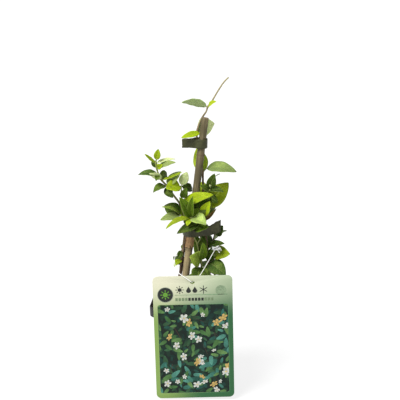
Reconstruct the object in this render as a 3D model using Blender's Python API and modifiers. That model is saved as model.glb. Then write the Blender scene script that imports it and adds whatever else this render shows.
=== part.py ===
"""A young honeysuckle vine tied to a bamboo cane in a square nursery pot, with its hanging label.

Lengths are millimetres until metres() turns them into Blender's units. The row frame has +X to the right of
the plant as it is shown, +Y away from the viewer and +Z up. The origin is the middle of the pot's underside.
"""

import math
from collections import namedtuple

import bmesh
import bpy
from mathutils import Matrix, Vector
from mathutils.noise import noise

MM = 0.001
GAP = 0.3

POT_RIM_WIDTH = 84.0
POT_FOOT_WIDTH = 60.0
POT_HEIGHT = 105.0
POT_WALL = 1.2
POT_RIM_HEIGHT = 12.0
POT_RIM_STEP = 4.0
POT_CORNER_RADIUS = 8.0
POT_TURN = math.radians(-5.0)
DRAIN_HOLE_RADIUS = 4.0
DRAIN_HOLE_SPACING = 34.0

SOIL_TOP = 90.0
SOIL_LUMP = 2.2
STEM_HOLE_PLAY = 0.45

CANE_RADIUS = 4.2
CANE_FOOT = Vector((-18.5, 0.0, 22.0))
CANE_TOP = Vector((16.0, 0.0, 308.5))
CANE_KNOT_HEIGHTS = (101.0, 163.0, 268.0)
CANE_KNOT_SWELL = 0.4

TAPE_WIDTH = 10.0
TAPE_THICKNESS = 0.7

LABEL_WIDTH = 86.0
LABEL_HEIGHT = 142.0
LABEL_THICKNESS = 0.7
LABEL_CORNER_RADIUS = 5.5
LABEL_CENTRE = Vector((3.9, -46.9, 74.2))
LABEL_ROLL = math.radians(-1.4)
LABEL_HOLE_DROP = 7.4
LABEL_HOLE_HALF_WIDTH = 2.4
LABEL_HOLE_HALF_HEIGHT = 1.7

THREAD_RADIUS = 0.4

BLADE_THICKNESS = 0.7
BLADE_COLUMNS = 4
BLADE_ROWS = 5
PETIOLE_LENGTH = 4.0
PETIOLE_HALF_WIDTH = 0.65
LEAF_TIP_HALF_WIDTH = 0.35

Stem = namedtuple("Stem", "points foot_radius tip_radius")
# A leaf grows from a stem's point number `joint` and ends at `tip`. `face` is where its upper side looks,
# `fold` the rise of its two halves from the midrib in degrees, and `arch` its bow as a share of its length.
Leaf = namedtuple("Leaf", "stem joint tip width face fold arch")

FRONT = (0.0, -0.9, 0.4)
UP_FRONT = (0.0, -0.6, 0.8)
UP = (0.0, -0.2, 1.0)
UNDERSIDE_OUT = (0.0, 0.75, 0.6)
REAR = (0.0, 0.9, 0.4)

LEADER = Stem(
    [
        (22, 8, 62), (22, 7, 96), (21, 4, 134), (20, 4, 144), (18.6, 4, 161), (16.6, 4.5, 178), (16, 5, 192),
        (15.2, 5.5, 208), (14.4, 5.5, 219), (13.8, 5.2, 233), (13.4, 4.6, 246.6), (11.6, 7, 259.4),
        (9.4, 6.8, 270.5), (7.2, 4.6, 282), (7.3, 1.4, 293), (9.2, 2.4, 300.5), (12, 4.9, 306.4),
        (14.6, 4.8, 310.6), (17.3, 3, 315), (18.9, 1, 320.3), (23, 0, 326), (30.2, -2, 338.7),
        (36.1, -2, 347.4), (41, -1, 352.3),
    ],
    1.5,
    0.6,
)
LEFT_SHOOT = Stem(
    [
        (-21.5, 7, 62), (-18.5, 6, 96), (-10, 4.8, 139), (-9.2, 4.8, 147), (-8.3, 4.6, 157.5),
        (-6.8, 4.4, 171.5),
        (-5.8, 4.2, 181), (-5, 3.2, 190.3), (-6.8, 0, 201.3), (-10.6, -3, 212), (-19.1, -5, 224.6),
        (-26, -7, 235), (-31.1, -8, 241.4), (-34.3, -8.5, 247.7), (-36.4, -9, 254.6), (-37.2, -9, 260.2),
        (-36.4, -9, 265.8),
    ],
    1.6,
    0.6,
)
LEFT_SPUR = Stem([(-5, 3.2, 190.3), (-7.2, 0, 193.5), (-10.5, -3.5, 200.8)], 0.9, 0.7)
UPRIGHT_SPUR = Stem([(-10.6, -3, 212), (-9.6, -5, 219.7), (-9.9, -7, 229.3), (-10.1, -7, 234.4)], 0.8, 0.6)
CENTRE_SHOOT = Stem(
    [
        (10, -7, 62), (10.5, -6.5, 96), (12.5, -5.5, 134), (12.3, -5.5, 142), (12, -5.5, 148.4),
        (9.7, -6.2, 158), (7.2, -7, 168.6),
        (4.6, -7.5, 175.5), (3.5, -7.8, 183.9), (1.2, -9.5, 199.3), (1, -10.5, 206.5),
    ],
    1.1,
    0.6,
)
CENTRE_FORK = Stem(
    [(7.2, -7, 168.6), (10.7, -6.2, 174.6), (11.2, -6, 183.4), (11.2, -7, 192.9), (13, -8, 200.6)], 0.8, 0.6
)
RIGHT_SHOOT = Stem([(14.4, 5.5, 219), (17.4, 2, 223), (21, -1, 228.3), (23.1, -2, 231.4)], 0.8, 0.5)
BASAL_TWIG = Stem(
    [(29, 7, 62), (28.5, 7, 96), (26.9, 8, 132.3), (25.5, 10.5, 152.4), (25.3, 11.5, 166.5), (27, 11.5, 174)],
    1.5,
    0.7,
)

# Each leafy stem is one node: its stems, joined where they fork, and the leaves that grow from them.
LEAFY_STEMS = {
    "leader": {"main": LEADER, "side": RIGHT_SHOOT},
    "left_shoot": {"main": LEFT_SHOOT, "left_spur": LEFT_SPUR, "upright_spur": UPRIGHT_SPUR},
    "centre_shoot": {"main": CENTRE_SHOOT, "fork": CENTRE_FORK},
    "basal_twig": {"main": BASAL_TWIG},
}

LEAVES = {
    "leader": [
        Leaf("main", 19, (-9, -4, 327), 11, UNDERSIDE_OUT, 12, 0.05),
        Leaf("main", 19, (27, -14, 329), 7, (-0.3, -0.5, 0.8), 20, 0.05),
        Leaf("main", 14, (-9.7, -6, 288), 9, UNDERSIDE_OUT, 15, 0.08),
        Leaf("main", 14, (25, 15, 302), 13, (0.1, 0.9, 0.3), 6, 0.04),
        Leaf("main", 10, (7, 13, 272.5), 16, REAR, 8, 0.05),
        Leaf("main", 10, (50, -6, 249.5), 15, (0.0, -0.8, 0.6), 14, 0.16),
        Leaf("main", 7, (42, 10, 234), 18, (0.2, -0.9, 0.4), 12, 0.06),
        Leaf("main", 6, (23, 7, 213.5), 10, (0.7, -0.6, 0.3), 15, 0.08),
        Leaf("main", 6, (27.7, 3, 204.5), 4, (0.3, -0.8, 0.5), 40, 0.15),
        Leaf("main", 3, (39, -10, 134), 15, (0.1, -0.8, 0.55), 10, 0.1),
        Leaf("main", 4, (37, -5, 169), 9, UP_FRONT, 14, 0.12),
        Leaf("main", 6, (28, 25, 205), 12, (0.3, 0.5, 0.8), 14, 0.12),
        Leaf("main", 8, (8, 27, 232), 13, (-0.2, 0.6, 0.8), 14, 0.12),
        Leaf("main", 4, (14, 29, 171), 13, (0.0, 0.5, 0.8), 12, 0.12),
        Leaf("main", 2, (12, 28, 138), 13, (-0.2, 0.5, 0.8), 12, 0.12),
        Leaf("side", 2, (26.1, -6, 248), 10, (-0.1, -0.9, 0.35), 14, 0.06),
        Leaf("side", 2, (36, -13, 229.5), 8, UP_FRONT, 14, 0.12),
        Leaf("side", 2, (11, -7, 235.2), 6.5, (0.0, -0.85, 0.5), 14, 0.08),
        Leaf("side", 1, (30, -5, 215.5), 9, FRONT, 12, 0.05),
        Leaf("side", 1, (18.2, -11, 217.5), 7, FRONT, 12, 0.05),
        Leaf("side", 1, (32, 18, 243), 12, (0.3, 0.5, 0.8), 12, 0.12),
        Leaf("side", 3, (25.5, -5, 235.5), 2.5, FRONT, 20, 0.0),
        Leaf("side", 3, (21, -5, 235.5), 2.5, FRONT, 20, 0.0),
    ],
    "left_shoot": [
        Leaf("main", 16, (-34.6, -9, 276), 6.5, FRONT, 25, 0.05),
        Leaf("main", 15, (-48.8, -12, 271.5), 6, (0.7, 0.2, 0.65), 12, -0.05),
        Leaf("main", 15, (-16.2, -4, 264.2), 6, (-0.4, 0.25, 0.9), 12, 0.06),
        Leaf("main", 14, (-16.4, -14, 263.4), 8, (0.0, 0.7, 0.7), 12, 0.04),
        Leaf("main", 14, (-41.6, 4, 261), 6, FRONT, 15, 0.05),
        Leaf("main", 14, (-29.8, -15, 260.5), 6, (0.2, -0.9, 0.4), 20, 0.05),
        Leaf("main", 13, (-25, 2, 240.5), 10, (0.1, -0.9, 0.4), 10, 0.08),
        Leaf("main", 13, (-56.4, -10, 248.5), 8, UP_FRONT, 12, 0.12),
        Leaf("main", 13, (-36.5, -19, 242.5), 8, UP_FRONT, 12, 0.12),
        Leaf("main", 12, (-44, -3, 247.7), 9, UNDERSIDE_OUT, 10, 0.05),
        Leaf("main", 12, (-8, -15, 252.5), 6.5, (-0.2, 0.2, 0.95), 10, -0.06),
        Leaf("main", 11, (-40.2, -14, 231.5), 9, (0.0, -0.5, 0.85), 12, 0.2),
        Leaf("main", 11, (-23, -17, 224.5), 9, (-0.3, -0.9, 0.2), 12, 0.1),
        Leaf("main", 11, (-7.4, -3, 248), 9, (-0.2, 0.8, 0.6), 10, 0.05),
        Leaf("upright_spur", 3, (-26.3, -15, 235), 12, (0.0, -0.75, 0.65), 22, 0.08),
        Leaf("upright_spur", 3, (-3.6, -6, 250), 9.5, (0.2, 0.8, 0.55), 8, 0.04),
        Leaf("upright_spur", 1, (-4.5, -9, 233), 7, (0.3, -0.9, 0.2), 18, 0.06),
        Leaf("upright_spur", 3, (0.8, 10, 228.5), 9, FRONT, 12, 0.1),
        Leaf("left_spur", 2, (-28.6, 3, 207.7), 13, (-0.1, -0.8, 0.6), 12, 0.12),
        Leaf("left_spur", 2, (-31.2, -12, 212.6), 7, UP, 14, 0.14),
        Leaf("left_spur", 2, (-32.8, -12, 197.7), 8, UNDERSIDE_OUT, 12, 0.1),
        Leaf("main", 9, (24.6, -16, 227.5), 13, (0.0, -0.75, 0.65), 12, 0.1),
        Leaf("main", 3, (-18.5, -5, 142), 8, (-0.3, -0.6, 0.7), 14, 0.12),
        Leaf("main", 2, (-17, 0, 130.5), 6, FRONT, 12, 0.1),
        Leaf("main", 4, (-20, 22, 166), 12, (-0.3, 0.5, 0.8), 12, 0.12),
        Leaf("main", 2, (-25, 20, 146), 11, (-0.3, 0.5, 0.8), 12, 0.12),
        Leaf("main", 7, (-12, 24, 207), 12, (-0.2, 0.6, 0.8), 12, 0.12),
    ],
    "centre_shoot": [
        Leaf("main", 9, (-11.1, -17, 223.8), 10, (0.3, -0.9, 0.2), 22, 0.06),
        Leaf("main", 9, (1.9, -20, 225.4), 8, (-0.3, -0.9, 0.3), 40, 0.05),
        Leaf("main", 9, (-27.2, -18, 190.3), 9, (-0.1, -0.45, 0.9), 20, 0.12),
        Leaf("main", 9, (-3.6, -19, 193), 7, (-0.3, -0.8, 0.5), 15, 0.1),
        Leaf("main", 9, (17.1, -23, 195.6), 10, (0.2, -0.3, 0.95), 28, 0.12),
        Leaf("fork", 4, (21.7, -16, 219.2), 9.5, (-0.2, -0.9, 0.3), 15, 0.06),
        Leaf("fork", 4, (21.4, -6, 219), 12, (-0.3, -0.9, 0.3), 12, 0.06),
        Leaf("fork", 3, (-14.6, -18, 184.4), 10, (0.0, -0.8, 0.6), 14, 0.1),
        Leaf("fork", 3, (17.3, -15, 188), 8, FRONT, 12, 0.05),
        Leaf("main", 4, (-0.3, -12, 148), 8, (0.0, -0.3, 0.95), 10, 0.1),
        Leaf("main", 4, (-0.4, -16, 155), 12, (-0.3, -0.8, 0.5), 14, 0.14),
        Leaf("main", 4, (14.3, -11, 171), 7, (0.4, -0.9, 0.2), 15, 0.08),
        Leaf("main", 3, (6, -15, 128), 12, (-0.1, -0.9, 0.4), 10, 0.08),
        Leaf("main", 3, (17, -16, 127), 9, FRONT, 12, 0.05),
        Leaf("main", 2, (-8, -20, 120), 12, (-0.2, -0.6, 0.7), 12, 0.1),
        Leaf("main", 2, (31, -22, 118), 12, (0.2, -0.6, 0.7), 12, 0.1),
    ],
    "basal_twig": [
        Leaf("main", 5, (36, 4, 186), 12, (-0.2, -0.9, 0.3), 10, 0.06),
        Leaf("main", 3, (43.5, -4, 156), 12, (0.0, -0.8, 0.6), 12, 0.1),
        Leaf("main", 3, (38, 21, 152), 12, (0.3, 0.5, 0.8), 12, 0.12),
        Leaf("main", 4, (40, 15, 178), 10, (0.3, 0.5, 0.8), 12, 0.12),
    ],
}

# The tape's middle line, seen from above, round the cane and the stems that it holds, then out to its flap.
UPPER_TAPE_HEIGHT = 280.5
LOWER_TAPE_HEIGHT = 178.5
UPPER_TAPE_PLAN = [
    (-9.0, 0.2), (-3.0, -0.1), (1.6, -0.2), (4.8, -2.6), (8.0, -4.9), (12.6, -5.8), (16.6, -4.4), (18.5, 0.0),
    (16.8, 5.2), (12.6, 8.2), (8.0, 8.8), (4.6, 7.4), (2.8, 4.2), (-3.0, 1.9), (-8.4, 1.6),
]
LOWER_TAPE_PLAN = [
    (33.5, -2.2), (27.0, -3.0), (21.0, -2.6), (19.2, 1.5), (18.9, 5.0), (16.4, 6.9), (8.0, 6.9), (-4.0, 7.2),
    (-7.6, 6.4), (-8.6, 3.8), (-7.6, 0.0), (-4.6, -5.0), (0.5, -9.4), (6.0, -9.8), (14.5, -7.4), (21.0, -4.8),
    (26.0, -4.6), (32.0, -3.9),
]

# The thread runs from the label's hole up past the left of the cane, round behind the stems and back down.
THREAD_ROUTE = [
    (2.2, -46.9, 137.9), (0.6, -48.4, 139.3), (-5.4, -48.5, 145), (-9.5, -44, 149.3), (-14, -29, 151),
    (-16.8, -14, 152.6), (-16.4, -1, 153.6), (-13, 8, 155), (-4, 12.4, 157.6), (8, 13, 160),
    (20, 11.4, 161.6), (27.6, 6.6, 162), (28.6, 0, 161.6), (26.4, -6.4, 160.4), (19.5, -23, 153.5),
    (11, -39.5, 144), (5.2, -45, 139.6), (3.6, -45.6, 138.5),
]


def metres(point):
    """A point in millimetres as Blender's metres."""
    return Vector(point) * MM


def clear_scene():
    """Removes the startup scene's objects."""
    for thing in list(bpy.data.objects):
        bpy.data.objects.remove(thing, do_unlink=True)


def new_collection(name, hidden=False):
    """A collection under the scene; a hidden one holds cutters."""
    made = bpy.data.collections.new(name)
    made.hide_render = hidden
    bpy.context.scene.collection.children.link(made)
    return made


def material(name, colour, roughness, metallic=0.0):
    """A Principled material in one colour."""
    made = bpy.data.materials.get(name)
    if made:
        return made
    made = bpy.data.materials.new(name)
    made.use_nodes = True
    made.diffuse_color = (*colour, 1.0)
    shader = made.node_tree.nodes["Principled BSDF"]
    shader.inputs["Base Color"].default_value = (*colour, 1.0)
    shader.inputs["Roughness"].default_value = roughness
    shader.inputs["Metallic"].default_value = metallic
    return made


def mesh_object(name, mesh, collection, finish=None):
    """A mesh as an object in a collection."""
    made = bpy.data.objects.new(name, mesh)
    collection.objects.link(made)
    if finish:
        mesh.materials.append(finish)
    return made


def finished(bm, name):
    """A bmesh as a mesh whose faces point out."""
    bmesh.ops.recalc_face_normals(bm, faces=bm.faces)
    mesh = bpy.data.meshes.new(name)
    bm.to_mesh(mesh)
    bm.free()
    return mesh


def applied(thing):
    """The object's mesh with its modifiers applied and a curve's caps welded."""
    bpy.context.view_layer.update()
    graph = bpy.context.evaluated_depsgraph_get()
    mesh = bpy.data.meshes.new_from_object(thing.evaluated_get(graph))
    bm = bmesh.new()
    bm.from_mesh(mesh)
    bmesh.ops.remove_doubles(bm, verts=bm.verts, dist=1e-6)
    bm.to_mesh(mesh)
    bm.free()
    return mesh


def add_boolean(thing, operation, cutter=None, collection=None):
    """A Boolean by one object or by all of a collection's."""
    boolean = thing.modifiers.new(operation.title(), "BOOLEAN")
    boolean.operation = operation
    boolean.solver = "EXACT"
    if collection:
        boolean.operand_type = "COLLECTION"
        boolean.collection = collection
    else:
        boolean.object = cutter


def catmull_rom(points, steps):
    """A smooth line through the points, with that many steps from each to the next."""
    ends = [points[0] * 2 - points[1], *points, points[-1] * 2 - points[-2]]
    line = []
    for i in range(1, len(ends) - 2):
        a, b, c, d = ends[i - 1 : i + 3]
        for k in range(steps):
            t = k / steps
            square = (2 * a - 5 * b + 4 * c - d) * t**2
            cube = (3 * b - a - 3 * c + d) * t**3
            line.append(0.5 * (2 * b + (c - a) * t + square + cube))
    return [*line, points[-1]]


def tube(name, points, radii, collection, finish=None, sides_level=1, cyclic=False):
    """A round tube through the points, as a poly curve with filled caps."""
    curve = bpy.data.curves.new(name, "CURVE")
    curve.dimensions = "3D"
    curve.bevel_depth = MM
    curve.bevel_resolution = sides_level
    curve.use_fill_caps = not cyclic
    spline = curve.splines.new("POLY")
    spline.points.add(len(points) - 1)
    spline.use_cyclic_u = cyclic
    for point, place, radius in zip(spline.points, points, radii):
        point.co = (*metres(place), 1.0)
        point.radius = radius
    made = bpy.data.objects.new(name, curve)
    collection.objects.link(made)
    if finish:
        curve.materials.append(finish)
    return made


def as_mesh_object(thing):
    """Puts a welded mesh object in a curve object's place, because a Boolean takes no curve."""
    mesh = applied(thing)
    name, collection = thing.name, thing.users_collection[0]
    bpy.data.objects.remove(thing, do_unlink=True)
    made = bpy.data.objects.new(name, mesh)
    collection.objects.link(made)
    return made


def blade_half_width(along, width):
    """Half the blade's width at a share of its length: ovate, widest below the middle."""
    return max(LEAF_TIP_HALF_WIDTH, 0.5 * width * math.sin(math.pi * along**0.82) ** 0.85)


def leaf_rows(length, width):
    """(share of the leaf's length, half width) from the root of its stalk to its tip."""
    stalk = min(PETIOLE_LENGTH, 0.3 * length) / length
    rows = [(0.0, PETIOLE_HALF_WIDTH), (stalk * 0.8, PETIOLE_HALF_WIDTH)]
    for i in range(1, BLADE_ROWS + 1):
        along = (i - 0.45) / (BLADE_ROWS - 0.45)
        rows.append((stalk + (1 - stalk) * along, blade_half_width(min(along, 0.9999), width)))
    return rows


def make_leaf(name, root, leaf, collection):
    """A thin blade on its stalk, from the stem's middle to its tip, folded at the midrib and arched."""
    chord = Vector(leaf.tip) - root
    length = chord.length
    forward = chord.normalized()
    normal = Vector(leaf.face)
    normal = (normal - normal.dot(forward) * forward).normalized()
    across = forward.cross(normal)
    rows = leaf_rows(length, leaf.width)
    bm = bmesh.new()
    bmesh.ops.create_grid(bm, x_segments=BLADE_COLUMNS, y_segments=len(rows) - 1, size=0.5)
    for vertex in bm.verts:
        share = vertex.co.x * 2
        along, half_width = rows[round((vertex.co.y + 0.5) * (len(rows) - 1))]
        fold = math.radians(leaf.fold) * min(1.0, 2 * half_width / leaf.width)
        lift = leaf.arch * length * 4 * along * (1 - along) + abs(share) * half_width * math.sin(fold)
        place = root + forward * along * length + across * share * half_width * math.cos(fold) + normal * lift
        vertex.co = metres(place)
    bmesh.ops.triangulate(bm, faces=bm.faces)
    sheet = mesh_object(name, finished(bm, name), collection)
    solidify = sheet.modifiers.new("Blade", "SOLIDIFY")
    solidify.thickness = BLADE_THICKNESS * MM
    solidify.offset = 0.0
    mesh = applied(sheet)
    bpy.data.objects.remove(sheet, do_unlink=True)
    return mesh_object(name, mesh, collection)


def stem_tube(name, stem, collection):
    """A stem that tapers from its foot to its tip, as a mesh."""
    points = catmull_rom([Vector(p) for p in stem.points], 2)
    last = len(points) - 1
    radii = [stem.foot_radius + (stem.tip_radius - stem.foot_radius) * i / last for i in range(len(points))]
    return as_mesh_object(tube(name, points, radii, collection))


def make_leafy_stem(name, collection, finish):
    """One node: a leafy stem with its forks and leaves joined in one solid."""
    repeats = new_collection(name + "_repeats", hidden=True)
    for key, stem in LEAFY_STEMS[name].items():
        if key != "main":
            stem_tube(f"{name}_{key}", stem, repeats)
    for number, leaf in enumerate(LEAVES[name]):
        root = Vector(LEAFY_STEMS[name][leaf.stem].points[leaf.joint])
        make_leaf(f"{name}_leaf_{number}", root, leaf, repeats)
    body = stem_tube(name, LEAFY_STEMS[name]["main"], collection)
    add_boolean(body, "UNION", collection=repeats)
    mesh = applied(body)
    for thing in [body, *repeats.objects]:
        bpy.data.objects.remove(thing, do_unlink=True)
    bpy.data.collections.remove(repeats)
    return mesh_object(name, mesh, collection, finish)


def rounded_square(bm, width, height, radius, segments=3):
    """A loop of vertices round a square with round corners, at one height."""
    loop = []
    inner = width / 2 - radius
    for corner in range(4):
        turn = corner * math.pi / 2
        middle = Vector((inner, inner, 0))
        for k in range(segments + 1):
            angle = k * math.pi / 2 / segments
            place = middle + Vector((math.cos(angle), math.sin(angle), 0)) * radius
            place = Matrix.Rotation(turn, 3, "Z") @ place
            loop.append(bm.verts.new(metres((place.x, place.y, height))))
    return loop


def bridge(bm, lower, upper):
    """A band of faces between two loops with as many vertices."""
    for i in range(len(lower)):
        j = (i + 1) % len(lower)
        bm.faces.new((lower[i], lower[j], upper[j], upper[i]))


def pot_width_at(height):
    """The pot's outer width at a height, on its tapered wall."""
    widest = POT_RIM_WIDTH - 2 * POT_RIM_STEP
    return POT_FOOT_WIDTH + (widest - POT_FOOT_WIDTH) * height / (POT_HEIGHT - POT_RIM_HEIGHT)


def make_pot(collection, cutters, finish):
    """A tapered square pot with a flared rim band, open at the top, and drain holes through its floor."""
    step = POT_HEIGHT - POT_RIM_HEIGHT
    sections = [
        (pot_width_at(0), 0.0),
        (pot_width_at(step), step),
        (POT_RIM_WIDTH - 0.8, step + 1.0),
        (POT_RIM_WIDTH, POT_HEIGHT),
        (POT_RIM_WIDTH - 2 * POT_WALL, POT_HEIGHT),
        (POT_RIM_WIDTH - 0.8 - 2 * POT_WALL, step + 1.0 + POT_WALL),
        (pot_width_at(step) - 2 * POT_WALL, step + POT_WALL),
        (pot_width_at(POT_WALL) - 2 * POT_WALL, POT_WALL),
    ]
    bm = bmesh.new()
    loops = [rounded_square(bm, width, height, POT_CORNER_RADIUS) for width, height in sections]
    for lower, upper in zip(loops, loops[1:]):
        bridge(bm, lower, upper)
    bm.faces.new(loops[0])
    bm.faces.new(loops[-1])
    pot = mesh_object("pot", finished(bm, "pot"), collection, finish)
    pot.rotation_euler.z = POT_TURN
    for number in range(4):
        angle = POT_TURN + math.pi / 4 + number * math.pi / 2
        reach = DRAIN_HOLE_SPACING / math.sqrt(2)
        bpy.ops.mesh.primitive_cylinder_add(
            vertices=16,
            radius=DRAIN_HOLE_RADIUS * MM,
            depth=6 * POT_WALL * MM,
            location=metres((reach * math.cos(angle), reach * math.sin(angle), 0)),
        )
        hole = bpy.context.object
        hole.name = f"drain_hole_{number}"
        move_to(hole, cutters)
        hole.display_type = "WIRE"
        hole.hide_render = True
        add_boolean(pot, "DIFFERENCE", cutter=hole)
    return pot


def move_to(thing, collection):
    """Puts an object in that collection alone."""
    for old in thing.users_collection:
        old.objects.unlink(thing)
    collection.objects.link(thing)


def line_at_height(points, height):
    """Where a rising line of points passes a height, carried on past its ends."""
    for a, b in zip(points, points[1:]):
        if height <= b[2]:
            break
    share = (height - a[2]) / (b[2] - a[2])
    return Vector(a) + (Vector(b) - Vector(a)) * share


def make_soil(collection, cutters, finish):
    """The potting soil inside the pot, with a lumpy top and plain holes for the cane and the stems."""
    floor = POT_WALL + GAP
    bm = bmesh.new()
    inner = [pot_width_at(h) - 2 * POT_WALL - 2 * GAP for h in (floor, SOIL_TOP)]
    foot = rounded_square(bm, inner[0], floor, POT_CORNER_RADIUS)
    brim = rounded_square(bm, inner[1] - 0.4, SOIL_TOP, POT_CORNER_RADIUS)
    bridge(bm, foot, brim)
    bm.faces.new(foot)
    rings = [brim]
    for share in (0.8, 0.58, 0.34, 0.14):
        rings.append([bm.verts.new((v.co.x * share, v.co.y * share, v.co.z)) for v in brim])
    for outer, ring in zip(rings, rings[1:]):
        bridge(bm, outer, ring)
    bm.faces.new(rings[-1])
    for vertex in [v for ring in rings[1:] for v in ring]:
        lump = noise(vertex.co / (9 * MM))
        vertex.co.z += SOIL_LUMP * MM * lump
    soil = mesh_object("soil", finished(bm, "soil"), collection, finish)
    soil.rotation_euler.z = POT_TURN
    stands = {"cane": ([CANE_FOOT, CANE_TOP], CANE_RADIUS)}
    for name, stems in LEAFY_STEMS.items():
        if stems["main"].points[0][2] < SOIL_TOP:
            stands[name] = (stems["main"].points[:3], stems["main"].foot_radius)
    for name, (points, radius) in stands.items():
        foot_height = points[0][2] - 1.0
        heights = [foot_height, *[p[2] for p in points[1:-1]], SOIL_TOP + 12]
        places = [line_at_height(points, height) for height in heights]
        radii = [radius + STEM_HOLE_PLAY] * len(places)
        hole = as_mesh_object(tube(f"{name}_hole", places, radii, cutters, sides_level=4))
        hole.display_type = "WIRE"
        hole.hide_render = True
        add_boolean(soil, "DIFFERENCE", cutter=hole)
    return soil


def make_cane(collection, finish):
    """A bamboo cane with a swelling at each knot, cut square at both ends."""
    axis = CANE_TOP - CANE_FOOT
    stations = {0.0: CANE_RADIUS, 1.0: CANE_RADIUS * 0.96}
    for knot in CANE_KNOT_HEIGHTS:
        middle = (knot - CANE_FOOT.z) / axis.z
        for offset, swell in ((-0.014, 0), (-0.004, 1), (0.004, 0.8), (0.012, 0)):
            stations[middle + offset] = CANE_RADIUS + swell * CANE_KNOT_SWELL
    shares = sorted(stations)
    points = [CANE_FOOT + axis * share for share in shares]
    return tube("cane", points, [stations[s] - 0.02 for s in shares], collection, finish, sides_level=4)


def ribbon(name, path, width, thickness, collection, finish):
    """A strip of tape on edge that follows a path of (x, y, z, share of the width)."""
    bm = bmesh.new()
    bmesh.ops.create_grid(bm, x_segments=1, y_segments=len(path) - 1, size=0.5)
    for vertex in bm.verts:
        x, y, z, share = path[round((vertex.co.y + 0.5) * (len(path) - 1))]
        vertex.co = metres((x, y, z + math.copysign(width * share / 2, vertex.co.x)))
    bmesh.ops.triangulate(bm, faces=bm.faces)
    strip = mesh_object(name, finished(bm, name), collection, finish)
    solidify = strip.modifiers.new("Tape", "SOLIDIFY")
    solidify.thickness = thickness * MM
    solidify.offset = 0.0
    return strip


def smooth_plan(points, steps):
    """A smooth line in plan through points given as (x, y)."""
    return [(p.x, p.y) for p in catmull_rom([Vector((x, y, 0)) for x, y in points], steps)]


def make_upper_tie(collection, finish):
    """Tape round the cane and the leader, its two ends pinched together in a flap to the left."""
    path = [(x, y, UPPER_TAPE_HEIGHT, 1.0) for x, y in smooth_plan(UPPER_TAPE_PLAN, 2)]
    return ribbon("upper_tie", path, TAPE_WIDTH, TAPE_THICKNESS, collection, finish)


def make_lower_tie(collection, finish):
    """Tape round the cane and all the stems, its two ends pinched in a flap that rises to the right."""
    plan = smooth_plan(LOWER_TAPE_PLAN, 2)
    path = []
    for x, y in plan:
        rise = 2.0 * (x + 9) / 28 + max(0.0, x - 20) * 0.42
        path.append((x, y, LOWER_TAPE_HEIGHT + rise, 1.0 if x < 20 else 1.1 - 0.02 * (x - 20)))
    return ribbon("lower_tie", path, TAPE_WIDTH, TAPE_THICKNESS, collection, finish)


def outline_curve(name, splines, thickness, collection):
    """A flat plate from closed outlines in its own plane, the first outside and the others holes."""
    curve = bpy.data.curves.new(name, "CURVE")
    curve.dimensions = "2D"
    curve.fill_mode = "BOTH"
    curve.extrude = thickness / 2 * MM
    for outline in splines:
        spline = curve.splines.new("POLY")
        spline.points.add(len(outline) - 1)
        spline.use_cyclic_u = True
        for point, (x, y) in zip(spline.points, outline):
            point.co = (x * MM, y * MM, 0.0, 1.0)
    made = bpy.data.objects.new(name, curve)
    collection.objects.link(made)
    return made


def rounded_rectangle(width, height, radius, segments=5):
    """The outline of a rectangle with round corners, about the origin."""
    outline = []
    for corner, (sx, sy) in enumerate(((1, 1), (-1, 1), (-1, -1), (1, -1))):
        for k in range(segments + 1):
            angle = (corner + k / segments) * math.pi / 2
            x = sx * (width / 2 - radius) + radius * math.cos(angle)
            outline.append((x, sy * (height / 2 - radius) + radius * math.sin(angle)))
    return outline


def ellipse(half_width, half_height, middle_y, sides=14):
    """An ellipse's outline, its middle at that height."""
    angles = [2 * math.pi * k / sides for k in range(sides)]
    return [(half_width * math.cos(a), middle_y + half_height * math.sin(a)) for a in angles]


def make_label(collection, finish):
    """A stiff plastic card with round corners and a hole near its top edge."""
    card = rounded_rectangle(LABEL_WIDTH, LABEL_HEIGHT, LABEL_CORNER_RADIUS)
    hole = ellipse(LABEL_HOLE_HALF_WIDTH, LABEL_HOLE_HALF_HEIGHT, LABEL_HEIGHT / 2 - LABEL_HOLE_DROP)
    plate = outline_curve("label", [card, hole], LABEL_THICKNESS, collection)
    mesh = applied(plate)
    bpy.data.objects.remove(plate, do_unlink=True)
    label = mesh_object("label", mesh, collection, finish)
    label.rotation_euler = (math.pi / 2, LABEL_ROLL, 0)
    label.location = metres(LABEL_CENTRE)
    return label


def make_thread(collection, finish):
    """The closed loop of thread that hangs the label on the plant."""
    closed = [Vector(p) for p in THREAD_ROUTE]
    line = catmull_rom([closed[-1], *closed, closed[0]], 3)[3:-1]
    return tube("label_thread", line, [THREAD_RADIUS] * len(line), collection, finish, cyclic=True)


def main():
    clear_scene()
    plant = new_collection("honeysuckle_vine")
    cutters = new_collection("cutters", hidden=True)
    pot_black = material("pot_black", (0.015, 0.015, 0.016), 0.45)
    peat = material("peat", (0.035, 0.022, 0.014), 0.95)
    bamboo = material("bamboo", (0.30, 0.22, 0.12), 0.55)
    foliage = material("foliage", (0.16, 0.32, 0.05), 0.5)
    tape = material("tape", (0.05, 0.055, 0.035), 0.4)
    card = material("card", (0.45, 0.58, 0.28), 0.35)
    thread = material("thread", (0.85, 0.85, 0.82), 0.4)
    make_pot(plant, cutters, pot_black)
    make_soil(plant, cutters, peat)
    make_cane(plant, bamboo)
    for name in LEAFY_STEMS:
        make_leafy_stem(name, plant, foliage)
    make_upper_tie(plant, tape)
    make_lower_tie(plant, tape)
    make_label(plant, card)
    make_thread(plant, thread)


main()
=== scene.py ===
"""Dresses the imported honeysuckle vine: its leaves, stems, cane, ties, label, thread, pot and soil."""

import math
import random
from collections import namedtuple

import bmesh
import bpy
from bpy.props import FloatProperty, FloatVectorProperty, IntProperty, PointerProperty
from mathutils import Matrix, Vector
from mathutils.noise import noise


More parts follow.
